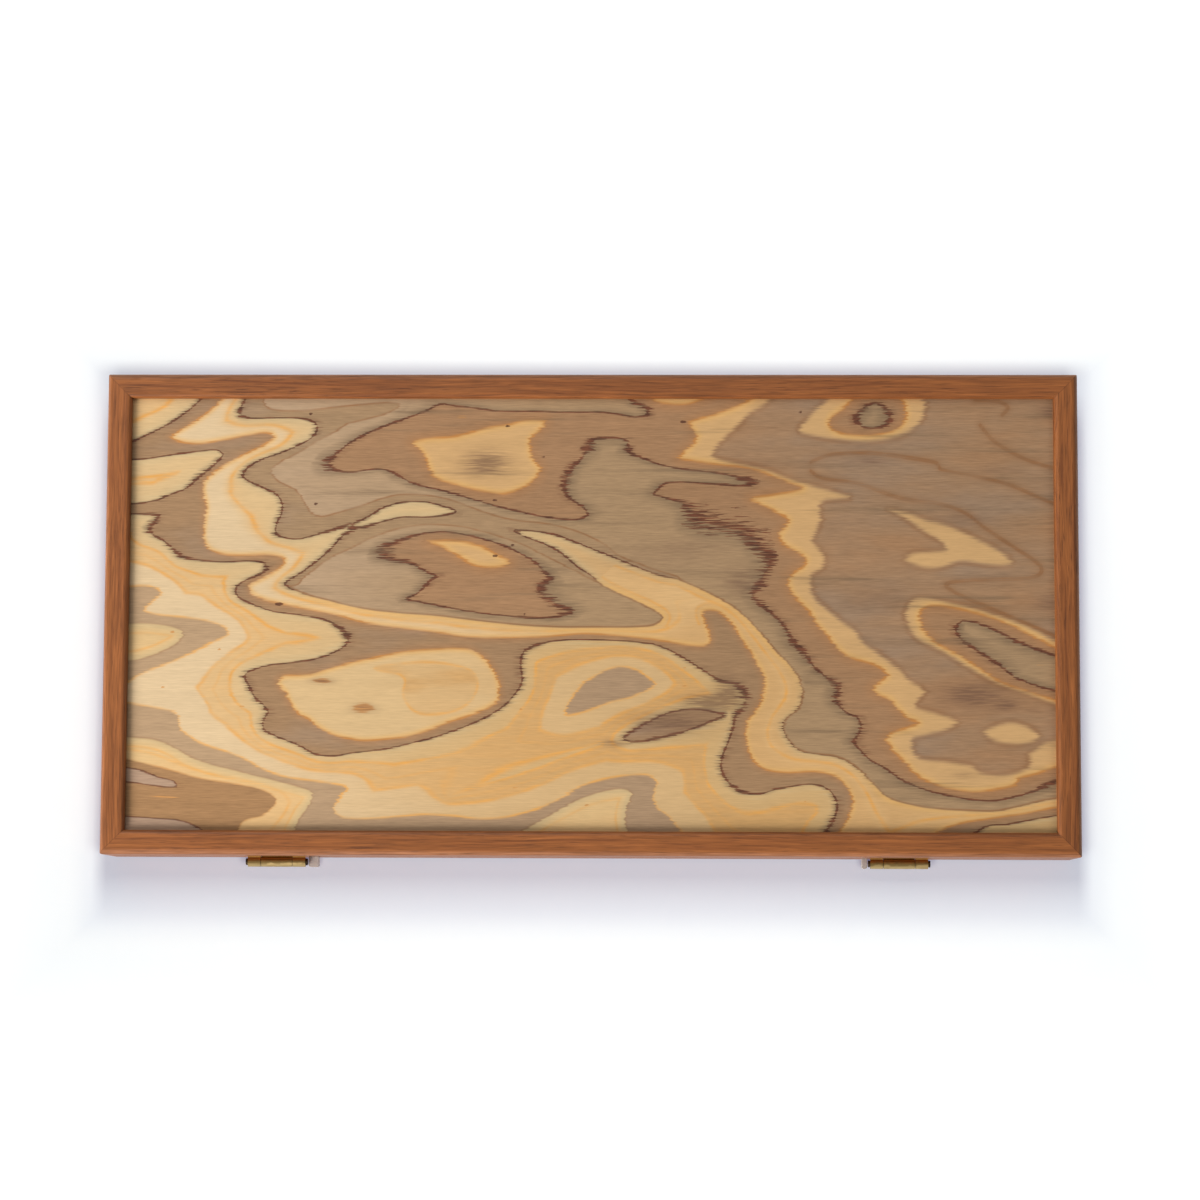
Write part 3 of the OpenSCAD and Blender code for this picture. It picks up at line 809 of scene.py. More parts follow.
EMBERS = [
    (172, 632, 3, 1, 1.9), (219, 649, 3, 1, 1.6), (163, 687, 3, 1, 1.4), (242, 706, 3, 1, 1.3),
    (521, 709, 3, 1, 1.5), (515, 788, 3, 1, 1.4), (587, 805, 3, 1, 1.5), (684, 668, 3, 1, 1.4),
    (684, 686, 3, 1, 1.3), (805, 802, 3, 1, 1.4), (462, 417, 14, 4, 0.74), (165, 797, 30, 3, 0.74),
    (1040, 665, 12, 4, 0.7), (363, 708, 15, 7, 1.15), (322, 681, 14, 4, 1.05),
]
# Where the brown border of the cream band isn't black
BAND_CALM = [
    (460, 622, 175, 16, 1.0), (610, 606, 50, 22, 1.0), (770, 650, 60, 62, 1.0), (900, 800, 160, 30, 1.0),
    (332, 601, 34, 12, 1.3), (380, 612, 40, 14, 1.2), (640, 602, 44, 22, 1.3), (722, 600, 36, 26, 1.3),
]
# The cream lens with a ring inside its border, and the island with a core of its own
LENS_SPOT = (672, 590, 80, 40, 1.0)
LENS_RING = 3.4
ISLAND_SPOT = (390, 694, 130, 60, 1.0)
WITHIN_SPOT = 0.4
ISLAND_HEART = [
    (375, 668), (405, 663), (432, 662), (456, 665), (471, 671), (477, 680), (476, 692), (470, 702),
    (456, 710), (434, 714), (416, 712), (406, 702), (403, 692), (406, 682), (400, 674), (375, 668),
]
# Where the golden zone reaches into the pale heart, as if a dark edge ran below it
SPURS = [[(600, 744), (560, 757), (505, 776), (450, 796)]]
FAINT_LINES = [
    [
        (811, 462), (820, 458), (835, 454), (870, 453), (910, 458), (937, 463), (940, 469), (975, 476),
        (1010, 485), (1040, 498), (1062, 507),
    ],
    [
        (811, 471), (822, 478), (860, 484), (900, 498), (940, 504), (965, 513), (985, 528), (1012, 546),
        (1035, 561), (1042, 570), (1030, 578), (975, 580), (946, 584), (960, 595), (995, 610), (1060, 638),
    ],
    [(980, 425), (995, 442), (1025, 459), (1062, 471)],
    [(975, 400), (1000, 402), (1008, 408), (1002, 415)],
]
print("spots:", sum(len(marks) for marks in (SMEARS, KNOTS, SMUDGES, EMBERS, BAND_CALM)))

# %% Measure them on the grid
SMEAR_EVERYWHERE = 0.3


def spots(marks):
    """The sum of soft ovals: strength * exp(-(across / half width)^2 - (up / half height)^2)."""
    found = np.zeros((DEEP, ACROSS))
    for x, y, wide, tall, strength in marks:
        centre = on_board([(x, y)])[0]
        across = (grid_x - centre[0]) / (wide * PIXEL)
        up = (grid_y - centre[1]) / (tall * PIXEL)
        found += strength * np.exp(-(up[:, None] ** 2) - across[None, :] ** 2)
    return found


def to_open_lines(lines):
    """Distance in mm from every grid point to the nearest of these open lines."""
    smooth = [on_board(drawn(points)) for points in lines]
    starts = np.vstack([a[:-1] for a in smooth])
    return 1000 * to_lines(starts, np.vstack([a[1:] for a in smooth]))


def golden_cores():
    """Depth in mm within the golden core of two cream areas: one follows the border, one is drawn."""
    to_border = np.minimum(height_over["cream"], -height_over["brown"])
    heart = depth([area(ISLAND_HEART)], 1)
    return np.where(spots([LENS_SPOT]) > WITHIN_SPOT, to_border - LENS_RING, heart)


fields = dict(height_over, core=golden_cores(), smear=SMEAR_EVERYWHERE + spots(SMEARS))
fields.update(faint=to_open_lines(FAINT_LINES), spur=to_open_lines(SPURS))
fields.update(knots=spots(KNOTS), smudges=spots(SMUDGES), embers=spots(EMBERS))
fields["band_dark"] = 1 - np.clip(spots(BAND_CALM), 0, 1)
fields["island"] = (spots([ISLAND_SPOT]) > WITHIN_SPOT).astype(float)

ordered = np.stack(list(height_over.values()))
nearest = np.abs(ordered).argmin(0)
slopes = np.abs(np.gradient(ordered, axis=2)) / (1000 * (grid_x[1] - grid_x[0]))
fields["crossing"] = np.take_along_axis(slopes, nearest[None], 0)[0].clip(0, 1)
print("share of the sheet whose border cuts the grain:", round(float((fields["crossing"] > 0.7).mean()), 2))

# %% Measure from the rails
share_x = (grid_x - grid_x[0]) / (grid_x[-1] - grid_x[0])
fields["rightward"] = np.tile(share_x, (DEEP, 1))
# Distances in mm from the rails' inner feet. The painted shade along the rails reads them.
from_sides = np.minimum(grid_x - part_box("lid_left_rail")[1][0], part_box("lid_right_rail")[0][0] - grid_x)
fields["side_foot"] = np.tile(1000 * from_sides, (DEEP, 1))
fields["near_foot"] = np.tile(1000 * (grid_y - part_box("lid_spine_rail")[1][1])[:, None], (1, ACROSS))
print("fields on the grid:", len(fields))

# %% [markdown]
# ## The two figured sheets
#
# Each sheet is a thin closed slab. Its face is a fine grid that carries the distances as named layers of
# numbers on the mesh. The underside's sheet is the next leaf off the log turned end for end, so it has
# the same figure the other way round.

# %% Build a sheet from its grid
# The layers of numbers on the mesh, three fields in each
STORED = {
    "depths_low": ("sliver", "warm", "honey"),
    "depths_pale": ("tan", "pale", "cream"),
    "depths_brown": ("brown", "grey", "rust"),
    "depths_high": ("straw", "ash", "faint"),
    "marks": ("crossing", "smear", "knots"),
    "tints": ("embers", "band_dark", "smudges"),
    "hints": ("core", "rightward", "spur"),
    "feet": ("near_foot", "side_foot", "island"),
}


def grid_squares(rows, columns):
    """The squares of a grid whose corners are numbered row by row."""
    index = np.arange(rows * columns).reshape(rows, columns)
    return np.stack([index[:-1, :-1], index[:-1, 1:], index[1:, 1:], index[1:, :-1]], -1).reshape(-1, 4)


def slab_faces(rows, columns):
    """The face's rim, a skirt from it down to a copy of the rim, and the back."""
    index = np.arange(rows * columns).reshape(rows, columns)
    rim_wear_and_highlight = np.concatenate([index[0, :-1], index[:-1, -1], index[-1, :0:-1], index[:0:-1, 0]])
    low = rows * columns + np.arange(len(rim_wear_and_highlight))
    skirt = np.stack([rim_wear_and_highlight, low, np.roll(low, -1), np.roll(rim_wear_and_highlight, -1)], -1)
    return rim_wear_and_highlight, skirt, low[::-1]


def figured_sheet(name, node, turned):
    """A slab that fills the box of the construction's sheet, face up, or face down when turned."""
    low, high = (np.array(corner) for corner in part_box(node))
    x, y = np.meshgrid(np.linspace(low[0], high[0], ACROSS), np.linspace(low[1], high[1], DEEP))
    face = low[2] if turned else high[2]
    hidden = high[2] if turned else low[2]
    rim_wear_and_highlight, skirt, under = slab_faces(DEEP, ACROSS)
    top = np.stack([x.ravel(), y.ravel(), np.full(x.size, face)], -1)
    bottom = top[rim_wear_and_highlight] * (1, 1, 0) + (0, 0, hidden)
    faces = grid_squares(DEEP, ACROSS).tolist() + skirt.tolist() + [under.tolist()]
    if turned:
        faces = [corners[::-1] for corners in faces]
    mesh = bpy.data.meshes.new(name)
    mesh.from_pydata(np.vstack([top, bottom]), [], faces)
    for layer, members in STORED.items():
        columns = [fields[m][::-1, ::-1] if turned else fields[m] for m in members]
        values = np.stack([c.ravel() for c in columns], -1)
        stored = mesh.attributes.new(layer, "FLOAT_VECTOR", "POINT")
        stored.data.foreach_set("vector", np.vstack([values, values[rim_wear_and_highlight]]).astype(np.float32).ravel())
    mesh.validate()
    return added(name, mesh)


lid_sheet = figured_sheet("lid_figured_sheet", "lid_veneer", False)
base_sheet = figured_sheet("base_figured_sheet", "base_veneer", True)
print("squares in a sheet:", len(lid_sheet.data.polygons))

# %% [markdown]
# ## The veneer's colours and fibres
#
# The material climbs the stack: it starts with the lowest layer's colour, and at each border mixes over
# to the next. The fibres run along the board, so they are noise that changes fast up the board and slowly
# along it. A photograph of wood could be wrapped on instead, but its fibres would then lie anywhere.

# %% Colours, from the lowest layer upwards
SLIVER, WARM = colour(176, 145, 120), colour(166, 126, 86)
HONEY, TAN = colour(222, 186, 132), colour(174, 143, 111)
PALE_TAN, PALE_GREY = colour(184, 152, 117), colour(190, 160, 128)
PINKISH, GOLDEN, CREAM = colour(223, 194, 152), colour(224, 182, 126), colour(218, 184, 134)
PINK_RIGHT, GOLD_RIGHT = colour(214, 177, 126), colour(212, 163, 102)
CREAM_RIGHT, GREENISH = colour(210, 172, 118), colour(202, 177, 133)
BROWN, BISCUIT, UMBER = colour(164, 129, 94), colour(214, 170, 114), colour(168, 136, 101)
TAWNY, BLUISH = colour(174, 127, 86), colour(158, 133, 110)
GREY, RUST = colour(172, 140, 104), colour(168, 128, 92)
STRAW, ASH = colour(214, 171, 117), colour(167, 131, 98)
# The inks of the borders and stains
SMOKE, BLACKENED, RED_BROWN = colour(126, 103, 78), colour(82, 47, 36), colour(116, 66, 46)
BURNT, ORANGE = colour(192, 130, 70), colour(228, 166, 88)
SOFT_BROWN, GLOW = colour(146, 102, 66), colour(228, 178, 108)
AMBER, SOOT = colour(206, 146, 84), colour(112, 82, 66)

# %% Fields and fibres
veneer = fresh("figured_veneer")
sliver, warm, honey = veneer.layer("depths_low")
tan, pale, cream = veneer.layer("depths_pale")
brown, grey, rust = veneer.layer("depths_brown")
straw, ash, faint = veneer.layer("depths_high")
cut, torn, knot = veneer.layer("marks")
ember, dark_band, smudge = veneer.layer("tints")
core, rightward, spur = veneer.layer("hints")
near_foot, side_foot, island = veneer.layer("feet")


def wavering(scale, detail, shift=(0, 0, 0)):
    """Noise round 0, with scale lumps for each metre along x, y and z."""
    return veneer.noise(scale, detail, shift) - 0.5


fibre = wavering((42, 950, 42), 3)
hair = wavering((130, 1800, 130), 2, (3, 1, 0))
shred = wavering((100, 1900, 100), 2, (5, 5, 0))
ragged = wavering((70, 1150, 70), 3, (2, 6, 0))
streak = wavering((14, 300, 14), 3, (6, 4, 0))
broad = wavering((9, 60, 9), 3, (7, 2, 0))
wander = wavering((26, 90, 26), 3, (1, 9, 0))
patches = veneer.noise((14, 40, 14), 4, (4, 7, 0))
uneven = veneer.noise((40, 110, 40), 3, (8, 8, 2)).ramp(0.36, 0.62)
drift = wander * 0.5 + ragged * cut * 0.8
print("nodes for the fields and fibres:", len(veneer.tree.nodes))

# %% [markdown]
# ## Manners of a border
#
# Each border has its own manner. Some are black and torn along the fibres, with grey smoke on the pale
# side. Some are a burnt orange line, and some only a soft brown one. Where a border cuts across the fibres
# it is torn, and where it follows them it is clean.

# %% Lines and two kinds of border


def held(value, most=0.95):
    """The value, kept between 0 and most."""
    return value.least(most).most(0.0)


def line(tint, gap, wide, ink, strength=1.0):
    """A line of ink over the tint where gap is 0, stronger and weaker along its way."""
    share = gap.bell(wide) * (0.45 + uneven * 0.55 + hair * 1.5) * strength
    return veneer.mix(held(share), tint, ink)


def soft_border(tint, field, upper, tearing, ink, strength, wide):
    """The layer above in its colour, with a line of ink along its border."""
    gap = field + (shred * 0.4 + ragged) * cut * tearing + drift
    over = veneer.mix(gap.ramp(-0.4, 0.5), tint, upper)
    return line(over, gap - 0.25, wide, ink, strength)


def black_border(tint, field, upper, strength, smoke, hairs, width=0.45):
    """A dark border, with streaky smoke below it and hairs of ink on both sides.

    Ink is where 1 - distance / reach, shaken by the fibres, is above 0.2 or so. The reach is the width
    in mm and grows where the border is torn.
    """
    edge = field + drift + shred * cut * (0.6 + 1.6 * torn)
    wild = (torn - 0.14) * (0.3 + 0.7 * cut) * hairs
    reach = smoke * (0.35 + 1.2 * torn) * (0.4 + 0.9 * cut)
    rising = ((field + drift + shred * cut * 8) / reach + 1).ramp(0.0, 1.0)
    over = veneer.mix(held(rising * strength * (0.55 + fibre * 2.6), 0.8), tint, SMOKE)
    over = veneer.mix(edge.ramp(-0.35, 0.4), over, upper)
    fall = edge.most(0.0) / (width + 2.2 * wild) + (-edge).most(0.0) / (width * 0.8 + 1.6 * wild)
    shaken = 1 - fall + shred * (0.9 + 3.0 * cut.math("SQRT") + 2.5 * wild)
    comb = (1 - abs(edge - 0.8) / (1.2 + 3.0 * cut)).most(0.0) * (shred + 0.1).ramp(0.06, 0.22)
    ink = shaken.ramp(0.0, 0.6) * strength + comb * cut * strength * (0.45 + hairs * 0.3)
    inked = veneer.mix((hair * 4 + 0.5).ramp(0, 1), BLACKENED, RED_BROWN)
    return veneer.mix(held(ink * (0.86 + fibre), 0.92), over, inked)


print("kinds of border: line, soft border, black border")

# %% [markdown]
# ## The lowest layers
#
# In the near left corner the deepest layers show: a grey sliver, a warm brown, and honey wood between two
# thin orange lines. A line that lies part of the way between two borders is found from its share of the
# room between them, so it keeps its place where the band narrows.

# %% Sliver, warm brown, honey and tan
tint = black_border(SLIVER, sliver, WARM, strength=0.8, smoke=2.0, hairs=0.5)
below = (-honey).most(0.0)
breadth = below + warm.most(0.0)
sweet = veneer.mix((below + wander * 3.0).ramp(4.0, 6.0) * patches.ramp(0.4, 0.6), HONEY, GOLDEN)
sweet = line(sweet, below + wander * 1.5 - 4.4, 0.7, ORANGE, 0.55)
sweet = line(sweet, (below / (breadth + 0.01) - 0.55) * breadth + wander, 0.8, ORANGE, 0.6)
sweet = veneer.mix((honey + 0.6).bell(1.8) * 0.6, sweet, GREENISH)
tint = soft_border(tint, warm, sweet, tearing=2.0, ink=BURNT, strength=0.6, wide=0.45)

rightness = (rightward + broad * 0.3).ramp(0.04, 0.5)
tanned = veneer.mix(rightness, PALE_TAN, TAN)
tint = soft_border(tint, honey, tanned, tearing=3.0, ink=SOFT_BROWN, strength=0.35, wide=0.6)
print("nodes up to the tan layer:", len(veneer.tree.nodes))

# %% [markdown]
# ## The pale heart
#
# Between the tan layer and the first black border lies the broad pale wood of the left half. It goes from
# pinkish by the tan to greenish by the black, with a golden zone between orange lines halfway.

# %% Pale wood with its golden zone
out_of_dark = (shred * cut * 2.0 - pale).most(0.0).least(spur + 4.5)
room = out_of_dark + tan.most(0.0)
rise = out_of_dark / (room + 0.01) + wander * 0.12
by_ink = veneer.mix(rightness, CREAM, CREAM_RIGHT)
by_tan = veneer.mix(rightness, PINKISH, PINK_RIGHT)
gold = veneer.mix(rightness, GOLDEN, GOLD_RIGHT)
heart = veneer.mix(rise.ramp(0.50, 0.64), by_ink, by_tan)
zone = rise.ramp(0.20, 0.30) * (1 - rise.ramp(0.54, 0.62))
heart = veneer.mix(zone * (0.6 + streak + patches * 0.3), heart, gold)
for share, wide, strength in ((0.25, 0.8, 0.95), (0.58, 0.9, 0.75), (0.42, 0.7, 0.35)):
    heart = line(heart, (rise - share) * room, wide, ORANGE, strength)
greening = (out_of_dark - 0.8).bell(2.6) * (0.55 - rightness * 0.25 + fibre * 2)
heart = veneer.mix(held(greening), heart, GREENISH)
tint = soft_border(tint, tan, heart, tearing=4.0, ink=ORANGE, strength=0.85, wide=0.6)
print("nodes up to the pale heart:", len(veneer.tree.nodes))

# %% [markdown]
# ## The cream band and the brown layers round it
#
# A black border leads to brown wood, and that to a cream band with an orange line inside it. The band's
# far side is a black border again on some stretches only. Two of its areas have a golden core.

# %% Brown, cream, umber and grey
earth = veneer.mix((cream + 4.0).ramp(0.0, 4.5) * 0.6, BROWN, TAWNY)
earth = veneer.mix(patches.ramp(0.5, 0.7) * 0.5, earth, BLUISH)
tint = black_border(tint, pale, earth, strength=0.95, smoke=3.0, hairs=0.9)

breadth = cream.most(0.0) + (-brown).most(0.0)
climb = cream / (breadth + 0.01) + wander * 0.12
off_middle = (climb - 0.58) * breadth
warmth = (rightward + wander * 0.2).ramp(0.25, 0.62)
plain = veneer.mix(climb.ramp(0.4, 0.7).most(island), PINKISH, CREAM)
band = veneer.mix(warmth, plain, BISCUIT)
band = veneer.mix(off_middle.bell(2.4) * 0.55, band, GOLDEN)
band = line(band, off_middle, 0.9, ORANGE, 0.85)
band = line(band, core + wander * 1.6, 0.8, ORANGE, 0.8)
gilding = (core + wander * 3.0).ramp(-0.5, 1.5) * (0.3 + patches.ramp(0.42, 0.6) * 0.6)
band = veneer.mix(gilding, band, veneer.mix(island, GOLDEN, GOLD_RIGHT))
band = veneer.mix((cream - 0.9).bell(1.3) * 0.6, band, GLOW)
band = veneer.mix((brown + 0.9).bell(1.5) * (1 - dark_band) * 0.7, band, GLOW)
band = veneer.mix((brown + 0.8).bell(2.4) * dark_band * 0.55, band, GREENISH)
tint = soft_border(tint, cream, band, tearing=5.0, ink=BURNT, strength=0.95, wide=0.55)

umber = veneer.mix(patches.ramp(0.5, 0.7) * 0.4, UMBER, BLUISH)
tint = black_border(tint, brown, umber, strength=dark_band, smoke=3.0, hairs=0.9)
tint = line(tint, brown - 0.4, 0.7, SOFT_BROWN, 0.3 * (1 - dark_band))
stone = veneer.mix(rightness, PALE_GREY, GREY)
tint = soft_border(tint, grey, stone, tearing=3.0, ink=SOFT_BROWN, strength=0.75, wide=0.5)
print("nodes up to the grey layer:", len(veneer.tree.nodes))

# %% [markdown]
# ## The highest layers
#
# The widest black border leads to rust-brown wood, then a straw ribbon, and last the ash-brown wood that
# fills the right end, where faint brown lines wander like the coast on a map.

# %% Rust, straw and ash
tawny_side = veneer.mix((straw + 6.0).ramp(0.0, 6.0) * 0.7, RUST, TAWNY)
tint = black_border(tint, rust, tawny_side, strength=1.0, smoke=9.0, hairs=1.8, width=0.42)

ribbon = veneer.mix((straw - 1.0).bell(1.6) * 0.6, STRAW, GLOW)
tint = soft_border(tint, straw, ribbon, tearing=5.5, ink=BURNT, strength=0.95, wide=0.7)
mottled = veneer.mix(patches.ramp(0.46, 0.72) * 0.6, ASH, BLUISH)
mottled = veneer.mix(patches.ramp(0.5, 0.32) * 0.4, mottled, TAWNY)
coast = faint + wander * 0.8
mottled = line(mottled, coast - 0.4, 0.6, SOFT_BROWN, 0.75)
mottled = line(mottled, coast - 0.8, 1.8, SOFT_BROWN, 0.3)
edge = ash + shred * (1.0 + 5.0 * cut) + drift
tint = veneer.mix(edge.ramp(-2.2, 1.0), tint, mottled)
tint = line(tint, edge - 0.8, 1.2, SOFT_BROWN, 0.5)
print("nodes up to the ash layer:", len(veneer.tree.nodes))

# %% [markdown]
# ## Stains, painted shade and gloss
#
# Over the whole figure lie soot in the grey wood, amber and dark spots, and small knots. Painted shade
# darkens the sheet along the foot of the rails, where the recess walls shadow it. Last come the fibres' own
# light and dark, stronger on the dark wood, and a thin satin lacquer that lets them be felt.

# %% Finish the veneer
SOOTY_GRAIN = (12, 260, 12)
GRAIN_DEPTH = 0.00006
sooty = veneer.noise(SOOTY_GRAIN, 3, (2, 8, 0)).ramp(0.54, 0.76) * grey.ramp(0.0, 2.0)
tint = veneer.mix(sooty * 0.6, tint, SMOKE)
tint = veneer.mix(held((ember + shred * 0.8).ramp(0.6, 0.9), 0.9), tint, AMBER)
tint = veneer.mix(held(smudge * (0.55 + shred * 1.6 + fibre), 0.7), tint, SOOT)
tint = veneer.mix(held((knot + shred * 0.6).ramp(0.5, 0.8), 0.85), tint, BLACKENED)

# Painted shade: the sheet is darker near the rails' feet, where the recess walls shadow it.
painted_foot_shade = near_foot.bell(10.0) * 0.1 + side_foot.bell(2.6) * 0.22
lightness = veneer.node("ShaderNodeRGBToBW", inputs={0: tint})
contrast = 0.8 + 0.7 * lightness.ramp(0.46, 0.24)
grain = (fibre * 0.17 + hair * 0.4 + streak * 0.18) * contrast
veneer_material = veneer.surface(
    Base_Color=veneer.shade(tint, 1 + grain + broad * 0.16 - painted_foot_shade),
    Roughness=0.5 + fibre * 0.3 + broad * 0.1,
    Normal=veneer.bump(0.5 + fibre * 0.8 + hair * 0.6, GRAIN_DEPTH, 0.5),
    Specular_IOR_Level=0.15,
)
for piece, body in ((lid_sheet, "lid"), (base_sheet, "base")):
    piece.data.materials.append(veneer_material)
    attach(piece, body)
    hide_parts(f"{body}_veneer")
print("nodes in the veneer's tree:", len(veneer.tree.nodes))

# %% [markdown]
# ## Frame wood
#
# Every rail is cut along the grain, so the streaks run with the rail and turn at each mitre. The two
# directions are two materials from one function. The finish is a thin satin lacquer. The edges are painted
# brighter, partly wear and partly a painted highlight, and the fine open pores show as short dark dashes.

# %% Paint the frame
WOOD, WOOD_DARK, WOOD_LIGHT = colour(147, 87, 44), colour(104, 55, 26), colour(170, 103, 53)
PORE, RIM_WEAR_AND_HIGHLIGHT_TINT = colour(82, 44, 22), colour(184, 130, 98)
# In mm: how far the bright rim, wear and painted highlight, reaches in from an edge, and a mitre's dark line
RIM_REACH = 2.2
MITRE_WIDTH = 0.2
WOOD_GRAIN_DEPTH = 0.00008


def frame_wood(name, along_x):
    """Straight-grained wood along one rail: clustered dark streaks, fine lines and short pores."""
    paint = fresh(name)
    place = paint.stretch(paint.place, (1, 1, 1), tuple(-CASE_MIDDLE))
    x, y, z = paint.parts(place)
    wobble = paint.noise((9, 9, 60), detail=2, shift=(2, 2, 2), out="Color")
    sway = (0, 0.006, 0.006) if along_x else (0.006, 0, 0.006)
    bent = paint.stretch(wobble, sway, place)

    def grain(along, across, detail, shift):
        scale = (along, across, across) if along_x else (across, along, across)
        return paint.noise(scale, detail, shift, bent)

    streak = grain(16, 700, 4, (0, 0, 0)) - 0.5
    fine = grain(60, 1700, 3, (4, 4, 4)) - 0.5
    broad = grain(6, 90, 3, (8, 3, 1)) - 0.5
    cluster = grain(8, 60, 3, (3, 7, 5)).ramp(0.48, 0.66)
    flecks = grain(90, 1700, 2, (1, 5, 2)).ramp(0.56, 0.70)
    from_side, from_end, from_top = (
        1000 * float(half) - abs(1000 * part) for half, part in zip(CASE_HALF, (x, y, z))
    )
    mitre = (from_side - from_end).bell(MITRE_WIDTH) * (0.5 + fine)
    # Painted highlight, partly wear: every edge of the rail is painted brighter.
    rim_wear_and_highlight = 1 - (from_side.least(from_end)).most(from_top).ramp(0.2, RIM_REACH)
    tint = paint.mix((streak * 2.4 + 0.5).ramp(0.0, 1.0), WOOD_DARK, WOOD_LIGHT)
    tint = paint.mix(0.6, tint, WOOD)
    tint = paint.mix((streak * -7.0).ramp(0.1, 0.9) * cluster * 0.5, tint, WOOD_DARK)
    tint = paint.mix(flecks * (0.35 + cluster * 0.4), tint, PORE)
    tint = paint.mix((rim_wear_and_highlight * (0.35 + fine)).most(0.0), tint, RIM_WEAR_AND_HIGHLIGHT_TINT)
    tint = paint.mix(mitre.most(0.0), tint, PORE)
    return paint.surface(
        Base_Color=paint.shade(tint, 1 + fine * 1.3 + broad * 0.4),
        Roughness=0.42 + fine * 0.3 + flecks * 0.2,
        Normal=paint.bump(0.5 + fine + streak * 0.4 - flecks * 0.6, WOOD_GRAIN_DEPTH, 0.5),
        Specular_IOR_Level=0.3,
    )


wood_along = frame_wood("frame_wood_long", True)
wood_across = frame_wood("frame_wood_short", False)
for half in ("lid", "base"):
    dress(wood_along, f"{half}_front_rail", f"{half}_spine_rail")
    dress(wood_across, f"{half}_left_rail", f"{half}_right_rail")
print("frame painted:", wood_along.name, wood_across.name)

# %% [markdown]
# ## Plywood, field and points
#
# Inside, each panel's plywood carries a plain straight-grained veneer, with long slim points let into it.
# They are one function with other colours: a straight grain with a direction and two tones.

# %% Straight grain
# Streaks for each metre along x, y and z
ALONG_X, ALONG_Y, PLIES, TURNED = (9, 420, 40), (420, 9, 40), (12, 12, 2600), (60, 420, 60)
# So many fibres, and so many pores, in the room of one streak
STREAK_FIBRES, STREAK_PORES = 4, 9
STRAIGHT_GRAIN_DEPTH = 0.00005


def straight_grain(name, light, dark, along=ALONG_X, rough=0.4):
    """Straight streaks between a light and a dark tone, with fine fibres and small pores."""
    paint = fresh(name)
    streak = paint.noise(along, detail=4, warp=0.5) - 0.5
    fine = paint.noise(tuple(STREAK_FIBRES * v for v in along), detail=3, shift=(2, 6, 3)) - 0.5
    pores = paint.noise(tuple(STREAK_PORES * v for v in along), detail=1, shift=(5, 1, 7)).ramp(0.64, 0.76)
    tint = paint.mix((streak * 2.4 + 0.5).ramp(0.0, 1.0), dark, light)
    tint = paint.shade(tint, 1 + fine * 0.3 - pores * 0.25)
    return paint.surface(
        Base_Color=tint,
        Roughness=rough + fine * 0.25,
        Normal=paint.bump(0.5 + fine - pores * 0.4, STRAIGHT_GRAIN_DEPTH, 0.5),
        Specular_IOR_Level=0.4,
    )


print("fibres and pores for each streak:", STREAK_FIBRES, STREAK_PORES)

# %% Paint the playing field
field_material = straight_grain("field_veneer", colour(196, 158, 112), colour(166, 126, 82))
dark_point = straight_grain("dark_inlay", colour(110, 66, 40), colour(70, 40, 25), ALONG_Y)
light_point = straight_grain("light_inlay", colour(232, 208, 160), colour(212, 180, 126), ALONG_Y)
ply_material = straight_grain("plywood", colour(208, 176, 130), colour(176, 138, 92), PLIES)
for half in ("lid", "base"):
    dress(field_material, f"{half}_field")
    dress(dark_point, f"{half}_dark_points")
    dress(light_point, f"{half}_light_points")
    dress(ply_material, f"{half}_panel")
print("playing field painted")

# %% [markdown]
# ## Hinges
#
# The hinges are rolled from thin brass sheet. The barrel's reflections are painted into its colour: dull
# olive on top, amber on the side towards the wood, which it mirrors, and bright on the outer side, mirroring
# the pale floor. Where a point lies round the barrel follows from its distance to the pin, so that decides
# the tone, and a soft noise breaks it up. The screws, pins and magnets are plainer: one metal with tarnish
# in patches.

# %% Paint the metals
BRUSH_DEPTH = 0.00002
pin_low, pin_high = (np.array(corner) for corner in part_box("left_hinge_pin"))
AXIS = (pin_low + pin_high) / 2
# From the pin's middle to the outer side of the barrel, along y and in mm
OUTER_SIDE = 1000 * (float(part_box("left_base_leaf")[0][1]) - float(AXIS[1]))
print("radius of a barrel, in mm:", round(-OUTER_SIDE, 2))


def worn_metal(name, tones, rough=0.3, patch=220):
    """Brushed metal with pits. Tones takes the paint and a soft patchy noise, and gives the colour."""
    paint = fresh(name)
    tarnish = paint.noise((patch, patch, patch), detail=5).ramp(0.36, 0.66)
    brushed = paint.noise((120, 6000, 6000), detail=2, shift=(3, 3, 3)) - 0.5
    pits = paint.noise((3200, 3200, 3200), detail=2, shift=(9, 1, 4)).ramp(0.66, 0.76)
    return paint.surface(
        Base_Color=paint.shade(tones(paint, tarnish), 1 + brushed * 0.3 - pits * 0.4),
        Metallic=1 - pits * 0.3,
        Roughness=rough + tarnish * 0.16 + brushed * 0.15 + pits * 0.2,
        Normal=paint.bump(0.5 + brushed - pits * 0.5, BRUSH_DEPTH, 0.5),
    )


def two_tones(bright, painted_foot_shade):
    """Bright metal with dull patches."""
    return lambda paint, tarnish: paint.mix(tarnish, bright, painted_foot_shade)


# Painted reflections round the barrel: dark olive on top, the wood's amber inside, the pale floor outside.
OLIVE_TOP_REFLECTION, WOOD_REFLECTION_BRASS, FLOOR_REFLECTION_BRASS = colour(120, 98, 60), colour(172, 130, 70), colour(176, 152, 106)


